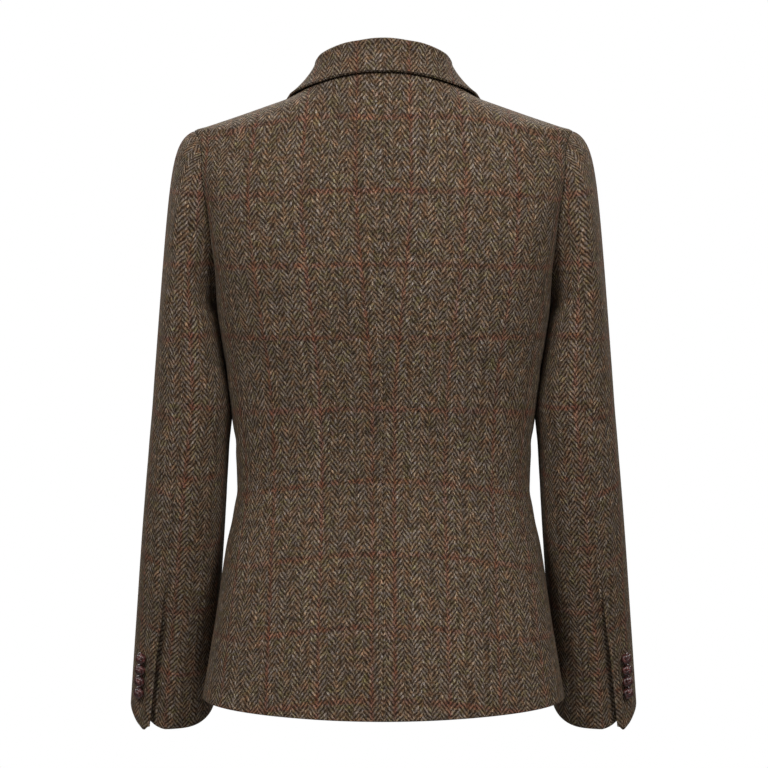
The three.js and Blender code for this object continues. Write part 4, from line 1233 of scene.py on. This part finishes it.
def tweed():
    g = Graph("tweed")
    threads = g.node("ShaderNodeUVMap", uv_map="Threads").outputs[0]
    placed = g.vector_math("MULTIPLY", threads, (1 / MM,) * 3)
    for scale, rough, reach in SWAYS:
        sway = g.vector_math("SUBTRACT", g.noise(placed, scale, 2.0, rough).outputs["Color"], (0.5,) * 3)
        placed = g.vector_math("ADD", placed, g.vector_math("MULTIPLY", sway, reach))
    u, v = g.node("ShaderNodeSeparateXYZ", {0: placed}).outputs[:2]
    phase, wave = twill(g, u, v)

    def streak(across, down, seed, detail=2.0, rough=0.6):
        at = g.vector(g.times(u, across), g.times(v, down), seed)
        return g.noise(at, 1.0, detail, rough).outputs[0]

    # Every yarn has its own shade, and changes along its length.
    end = g.math("FLOOR", g.math("DIVIDE", u, END))
    pick = g.math("FLOOR", g.math("DIVIDE", v, PICK))
    end_shade = g.node("ShaderNodeTexWhiteNoise", {"W": end}, noise_dimensions="1D").outputs[0]
    along_end = g.noise(g.vector(g.times(end, 7.3), g.times(v, 0.2)), 1.0, 2.0, 0.7).outputs[0]
    along_pick = g.noise(g.vector(g.times(u, 0.2), g.times(pick, 5.7), 9.0), 1.0, 2.0, 0.7).outputs[0]
    fibre = streak(0.8, 0.6, 4.0, 3.0, 0.75)
    lump = streak(0.2, 0.15, 31.0, 3.0, 0.7)

    edge = g.plus(g.span(fibre, LOOSE, -LOOSE / 2), g.span(lump, LUMPY, -LUMPY / 2))
    shows = g.ease(g.plus(wave, edge), *SHOWS)
    float_at = g.vector(end, g.math("FLOOR", g.plus(phase, 0.25)))
    float_shade = g.node("ShaderNodeTexWhiteNoise", {"Vector": float_at}, noise_dimensions="2D").outputs[0]
    light_at = g.plus(g.times(end_shade, 0.2), g.times(along_end, 0.4))
    light_at = g.plus(light_at, g.times(float_shade, 0.4))
    color = g.mix(shows, g.ramp(along_pick, DARK_YARN), g.ramp(light_at, LIGHT_YARN))

    # Heather: the yarns drift between olive, blue grey, rust and pink.
    for seed, size in ((5.0, (0.14, 0.05)), (19.0, (0.05, 0.13))):
        color = g.mix(1.0, color, g.ramp(streak(*size, seed, 3.0, 0.65), HEATHER), "MULTIPLY")

    # Coloured flecks in the yarn
    for seed, above, tint in FLECKS:
        spot = g.ease(streak(0.5, 0.34, seed), above - 0.03, above + 0.05)
        color = g.mix(g.times(spot, g.span(shows, 0.55, 0.25)), color, tint)

    # The overcheck: a rust yarn or two in the warp and in the weft
    rust = g.mix(shows, *RUST)
    for value, line, patches in ((u, WARP_LINE, (0.02, 0.11, 43.0)), (v, WEFT_LINE, (0.11, 0.02, 47.0))):
        color = g.mix(check_line(g, value, line, streak(*patches)), color, rust)

    # Thick places are lighter, and the whole drifts a little.
    cloud = g.noise(placed, 0.03, 3.0, 0.6).outputs[0]
    shade = g.times(g.span(cloud, 0.5, 0.75), g.span(lump, 1.9, 0.05))
    grey = g.node("ShaderNodeCombineColor", {0: shade, 1: shade, 2: shade}).outputs[0]
    return g.finish({
        "Base Color": g.mix(1.0, color, grey, "MULTIPLY"),
        "Normal": g.bump(g.plus(g.times(shows, 0.7), g.times(fibre, 0.6)), 0.7, 0.0006),
        "Roughness": 0.92,
        "Specular IOR Level": 0.15,
        "Sheen Weight": 0.06,
        "Sheen Roughness": 0.55,
        "Sheen Tint": srgb(214, 196, 170),
    })


def leather():
    g = Graph("leather_knots")
    at = g.node("ShaderNodeTexCoord").outputs["Object"]
    grain = g.node("ShaderNodeTexVoronoi", {"Vector": at, "Scale": 1800.0})
    patina = g.noise(at, 260.0, 3.0).outputs[0]
    color = g.ramp(patina, [(0.3, srgb(26, 10, 9)), (0.55, srgb(58, 23, 20)), (0.8, srgb(98, 46, 38))])
    return g.finish({
        "Base Color": color,
        "Normal": g.bump(grain.outputs["Distance"], 0.25, 0.0002),
        "Roughness": g.span(patina, 0.25, 0.26),
        "Coat Weight": 0.2,
        "Coat Roughness": 0.25,
    })


KNOT_LEADS, KNOT_BIGHTS = 3, 4
KNOT_STEPS = 132
STRAND_SIDES = 8
# The strand as shares of the button's radius: how far out it runs, how far it swings, and its section
STRAND = {"out": 0.52, "swing": 0.36, "wide": 0.34, "thick": 0.2}
WEAVE = 0.55  # how far the strand goes over and under itself, in its thicknesses
DOME = 0.82  # the height that the strand's line reaches, as a share of the button's
DOME_RIM = 0.98  # how near the dome comes to upright at the button's radius
STRAND_LEAN = 0.9  # how much of the button's height the strand's way up aims from
# The body under the strand: its radius, height and seat as shares of the button's, and where it starts
CORE = {"radius": 0.8, "height": 0.78, "seat": 0.12, "from": -0.35, "flat": -0.3}
CORE_RINGS, CORE_SLICES = 9, 24


def ring_faces(rings, sides, closed):
    """Faces between rings of points that follow each other, the last joined to the first if closed."""
    i, j = np.arange(rings if closed else rings - 1)[:, None], np.arange(sides)[None, :]

    def at(a, b):
        return (a % rings) * sides + b % sides

    corners = np.broadcast_arrays(at(i, j), at(i + 1, j), at(i + 1, j + 1), at(i, j + 1))
    return np.stack(corners, axis=-1).reshape(-1, 4)


def knot_button(name, centre, out, size, material):
    """A football button: one flat leather strand woven over and under itself on a domed body."""
    radius, height = size["radius"], size["height"]
    axis = unit(out)
    across = unit(np.cross([0.0, 0.0, 1.0], axis))
    up = np.cross(axis, across)
    t = np.arange(KNOT_STEPS) / KNOT_STEPS * TAU
    flat = STRAND["out"] + STRAND["swing"] * np.cos(KNOT_BIGHTS * t)
    turn = KNOT_LEADS * t
    strand_wide, strand_thick = radius * STRAND["wide"], radius * STRAND["thick"]
    dome = height * np.sqrt(np.clip(1 - (flat * DOME_RIM) ** 2, 0, 1)) * DOME
    lift = dome + np.sin(2 * KNOT_BIGHTS * t) * strand_thick * WEAVE
    line = vec(flat * radius * np.cos(turn), flat * radius * np.sin(turn), lift)
    ahead = unit(np.roll(line, -1, axis=0) - np.roll(line, 1, axis=0))
    upward = unit(vec(line[:, 0], line[:, 1], np.full(len(line), height * STRAND_LEAN)))
    wide = unit(np.cross(ahead, upward))
    thick = np.cross(wide, ahead)
    sides = (np.arange(STRAND_SIDES) / STRAND_SIDES * TAU)[:, None]
    section = wide[:, None] * (np.cos(sides) * strand_wide) + thick[:, None] * (np.sin(sides) * strand_thick)
    strand = (line[:, None] + section).reshape(-1, 3)

    # The body goes from its seat on the cloth to its crown.
    rise = np.linspace(CORE["from"], math.pi / 2, CORE_RINGS)
    around = np.arange(CORE_SLICES) / CORE_SLICES * TAU
    reach = (np.cos(rise) * radius * CORE["radius"])[:, None]
    level = np.maximum(np.sin(rise), CORE["flat"]) * height * CORE["height"] + height * CORE["seat"]
    core = vec(reach * np.cos(around), reach * np.sin(around), level[:, None]).reshape(-1, 3)
    core_faces = ring_faces(CORE_RINGS, CORE_SLICES, False)[:, [0, 3, 2, 1]] + len(strand)
    points = join(strand, core)
    placed = centre + points[:, :1] * across + points[:, 1:2] * up + points[:, 2:] * axis
    return add_mesh(name, placed, join(ring_faces(KNOT_STEPS, STRAND_SIDES, True), core_faces), material)


TWEED, LEATHER = tweed(), leather()
NEXT_CLOTH = 528.0  # what sets the yarns of one side apart from the other's: a whole number of repeats

# Each panel: its grid, its threads, its thickness, and the size and area of its flat cut in metres
PANELS = {
    "back": (back_panel, back_threads, CLOTH, (0.20, 0.66), 0.0998),
    "side": (side_panel, side_threads, CLOTH, (0.22, 0.46), 0.0825),
    "front": (front_panel, front_threads, CLOTH, (0.24, 0.65), 0.1012),
    "lapel": (lapel, lapel_threads, CLOTH, (0.115, 0.30), 0.0177),
    "sleeve_upper": (sleeve_upper, sleeve_threads, CLOTH, (0.21, 0.64), 0.102),
    "sleeve_under": (sleeve_under, sleeve_threads, CLOTH, (0.15, 0.55), 0.065),
    "collar": (collar, collar_threads, COLLAR_CLOTH, (0.42, 0.085), 0.024),
}


def outward(points, normals):
    """Whether a grid's own turning gives faces that look outwards."""
    turned = np.cross(points[1:-1, 2:] - points[1:-1, :-2], points[2:, 1:-1] - points[:-2, 1:-1])
    return np.mean(dot(unit(turned), normals[1:-1, 1:-1])) > 0


def cloth_piece(node, make, threads, side, thickness):
    points, normals, edges = make(side)
    if node.startswith(("back", "side", "front")):
        points, normals = body_creases(points, normals)
    uv = threads(points, normals)
    if side == "right":
        points, normals = points * MIRROR, normals * MIRROR
        uv = uv + [NEXT_CLOTH, 0.0]
    if not outward(points, normals):
        points, normals, uv = points[:, ::-1], normals[:, ::-1], uv[:, ::-1]
        edges = {**edges, "first": edges["last"], "last": edges["first"]}
    piece = shell_object(f"tweed_{node}", points, normals, uv, thickness, edges, TWEED)
    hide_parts(node)
    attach(piece, "root")
    return piece


for panel, (make, threads, thickness, flat, area) in PANELS.items():
    if panel == "collar":
        cloth_piece(panel, make, threads, "both", thickness)
        continue
    for side in ("left", "right"):
        cloth_piece(f"{panel}_{side}", make, threads, side, thickness)


def add_button(node, centre, out, size):
    piece = knot_button(f"knot_{node}", centre, out, size, LEATHER)
    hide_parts(node)
    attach(piece, "root")


def cuff_button_place(index):
    wanted = CUFF_BUTTONS["low_z"] + CUFF_BUTTONS["pitch"] * index
    turn = float(CUFF_BUTTONS["angle"])
    z = solve(float(CUFF_ROW), float(SLEEVE_TOP), lambda row: sleeve_point(row, turn)[..., 2] - wanted)
    point = sleeve_point(z, turn)
    out = np.cross(sleeve_point(z - 2, turn) - point, sleeve_point(z, turn - 2) - point)
    return point, unit(out)


for index in range(CUFF_BUTTONS["count"]):
    place, out = cuff_button_place(index)
    add_button(f"cuff_button_left_{index + 1}", place, out, CUFF_BUTTONS)
    add_button(f"cuff_button_right_{index + 1}", place * MIRROR, out * MIRROR, CUFF_BUTTONS)
for index, height in enumerate(FRONT_BUTTONS["heights"]):
    place, out = over_front(np.array(0.0), np.array(float(height)), "right", np.array(0.0))
    add_button(f"front_button_{index + 1}", place, out, FRONT_BUTTONS)


# The photograph's camera
CAMERA_AT = (-0.0005, 2.6, -0.1768)
CAMERA_DOWN = 3.0  # degrees
CAMERA_LENS, CAMERA_SENSOR = 122.9, 36.0  # mm


def camera():
    lens = bpy.data.cameras.new("camera")
    lens.lens, lens.sensor_width = CAMERA_LENS, CAMERA_SENSOR
    made = link("camera", lens)
    made.location = CAMERA_AT
    made.rotation_euler = (math.radians(90 - CAMERA_DOWN), 0.0, math.pi)
    bpy.context.scene.camera = made


FLOOR_Z = -1.3
FLOOR_RADIUS = 2.0
FLOOR_SIDES = 96


def floor():
    around = np.arange(FLOOR_SIDES) / FLOOR_SIDES * TAU
    ring = [(FLOOR_RADIUS * math.cos(a), FLOOR_RADIUS * math.sin(a), FLOOR_Z) for a in around]
    fan = [(0, 1 + i, 1 + (i + 1) % FLOOR_SIDES) for i in range(FLOOR_SIDES)]
    mesh = bpy.data.meshes.new("floor")
    mesh.from_pydata([(0.0, 0.0, FLOOR_Z)] + ring, [], fan)
    made = link("floor", mesh)
    g = Graph("pale_floor")
    at = g.node("ShaderNodeTexCoord").outputs["Object"]
    # It fades into the backdrop before its rim.
    away = g.node("ShaderNodeVectorMath", {0: at}, operation="LENGTH").outputs["Value"]
    fade = g.ease(away, FLOOR_RADIUS * 0.95, FLOOR_RADIUS * 0.25)
    mesh.materials.append(g.finish({"Base Color": (0.8, 0.8, 0.8, 1.0), "Roughness": 0.9, "Alpha": fade}))


WORLD_LIGHT = 0.1
LIGHTS_AIM = Vector((0.0, -0.1, -0.35))
# Soft boxes: name, place, diameter and power
LIGHTS = [
    ("key_left", (1.5, 2.3, 1.65), 1.3, 84),
    ("key_right", (-1.5, 2.3, 1.65), 1.3, 84),
    ("front_left", (1.1, -2.3, 1.7), 1.5, 70),
    ("front_right", (-1.1, -2.3, 1.7), 1.5, 70),
    ("fill", (0.0, 3.4, 0.0), 1.0, 11),
    ("side_left", (2.6, 0.0, 1.6), 1.4, 12),
    ("side_right", (-2.6, 0.0, 1.6), 1.4, 12),
]


def light(name, place, size, power):
    lamp = bpy.data.lights.new(name, "AREA")
    lamp.shape, lamp.size, lamp.energy = "DISK", size, power
    made = link(name, lamp)
    made.location = place
    made.rotation_euler = (LIGHTS_AIM - Vector(place)).to_track_quat("-Z", "Y").to_euler()


def studio():
    world = bpy.data.worlds.new("studio")
    bpy.context.scene.world = world
    world.use_nodes = True
    tree = world.node_tree
    seen = tree.nodes.new("ShaderNodeLightPath")
    background = next(n for n in tree.nodes if n.type == "BACKGROUND")
    strength = tree.nodes.new("ShaderNodeMapRange")
    tree.links.new(seen.outputs["Is Camera Ray"], strength.inputs[0])
    strength.inputs[3].default_value = WORLD_LIGHT
    strength.inputs[4].default_value = 1.0
    background.inputs[0].default_value = (1.0, 1.0, 1.0, 1.0)
    tree.links.new(strength.outputs[0], background.inputs[1])
    for name, place, size, power in LIGHTS:
        light(name, place, size, power)


camera()
floor()
studio()
bpy.context.scene.view_settings.view_transform = "Standard"
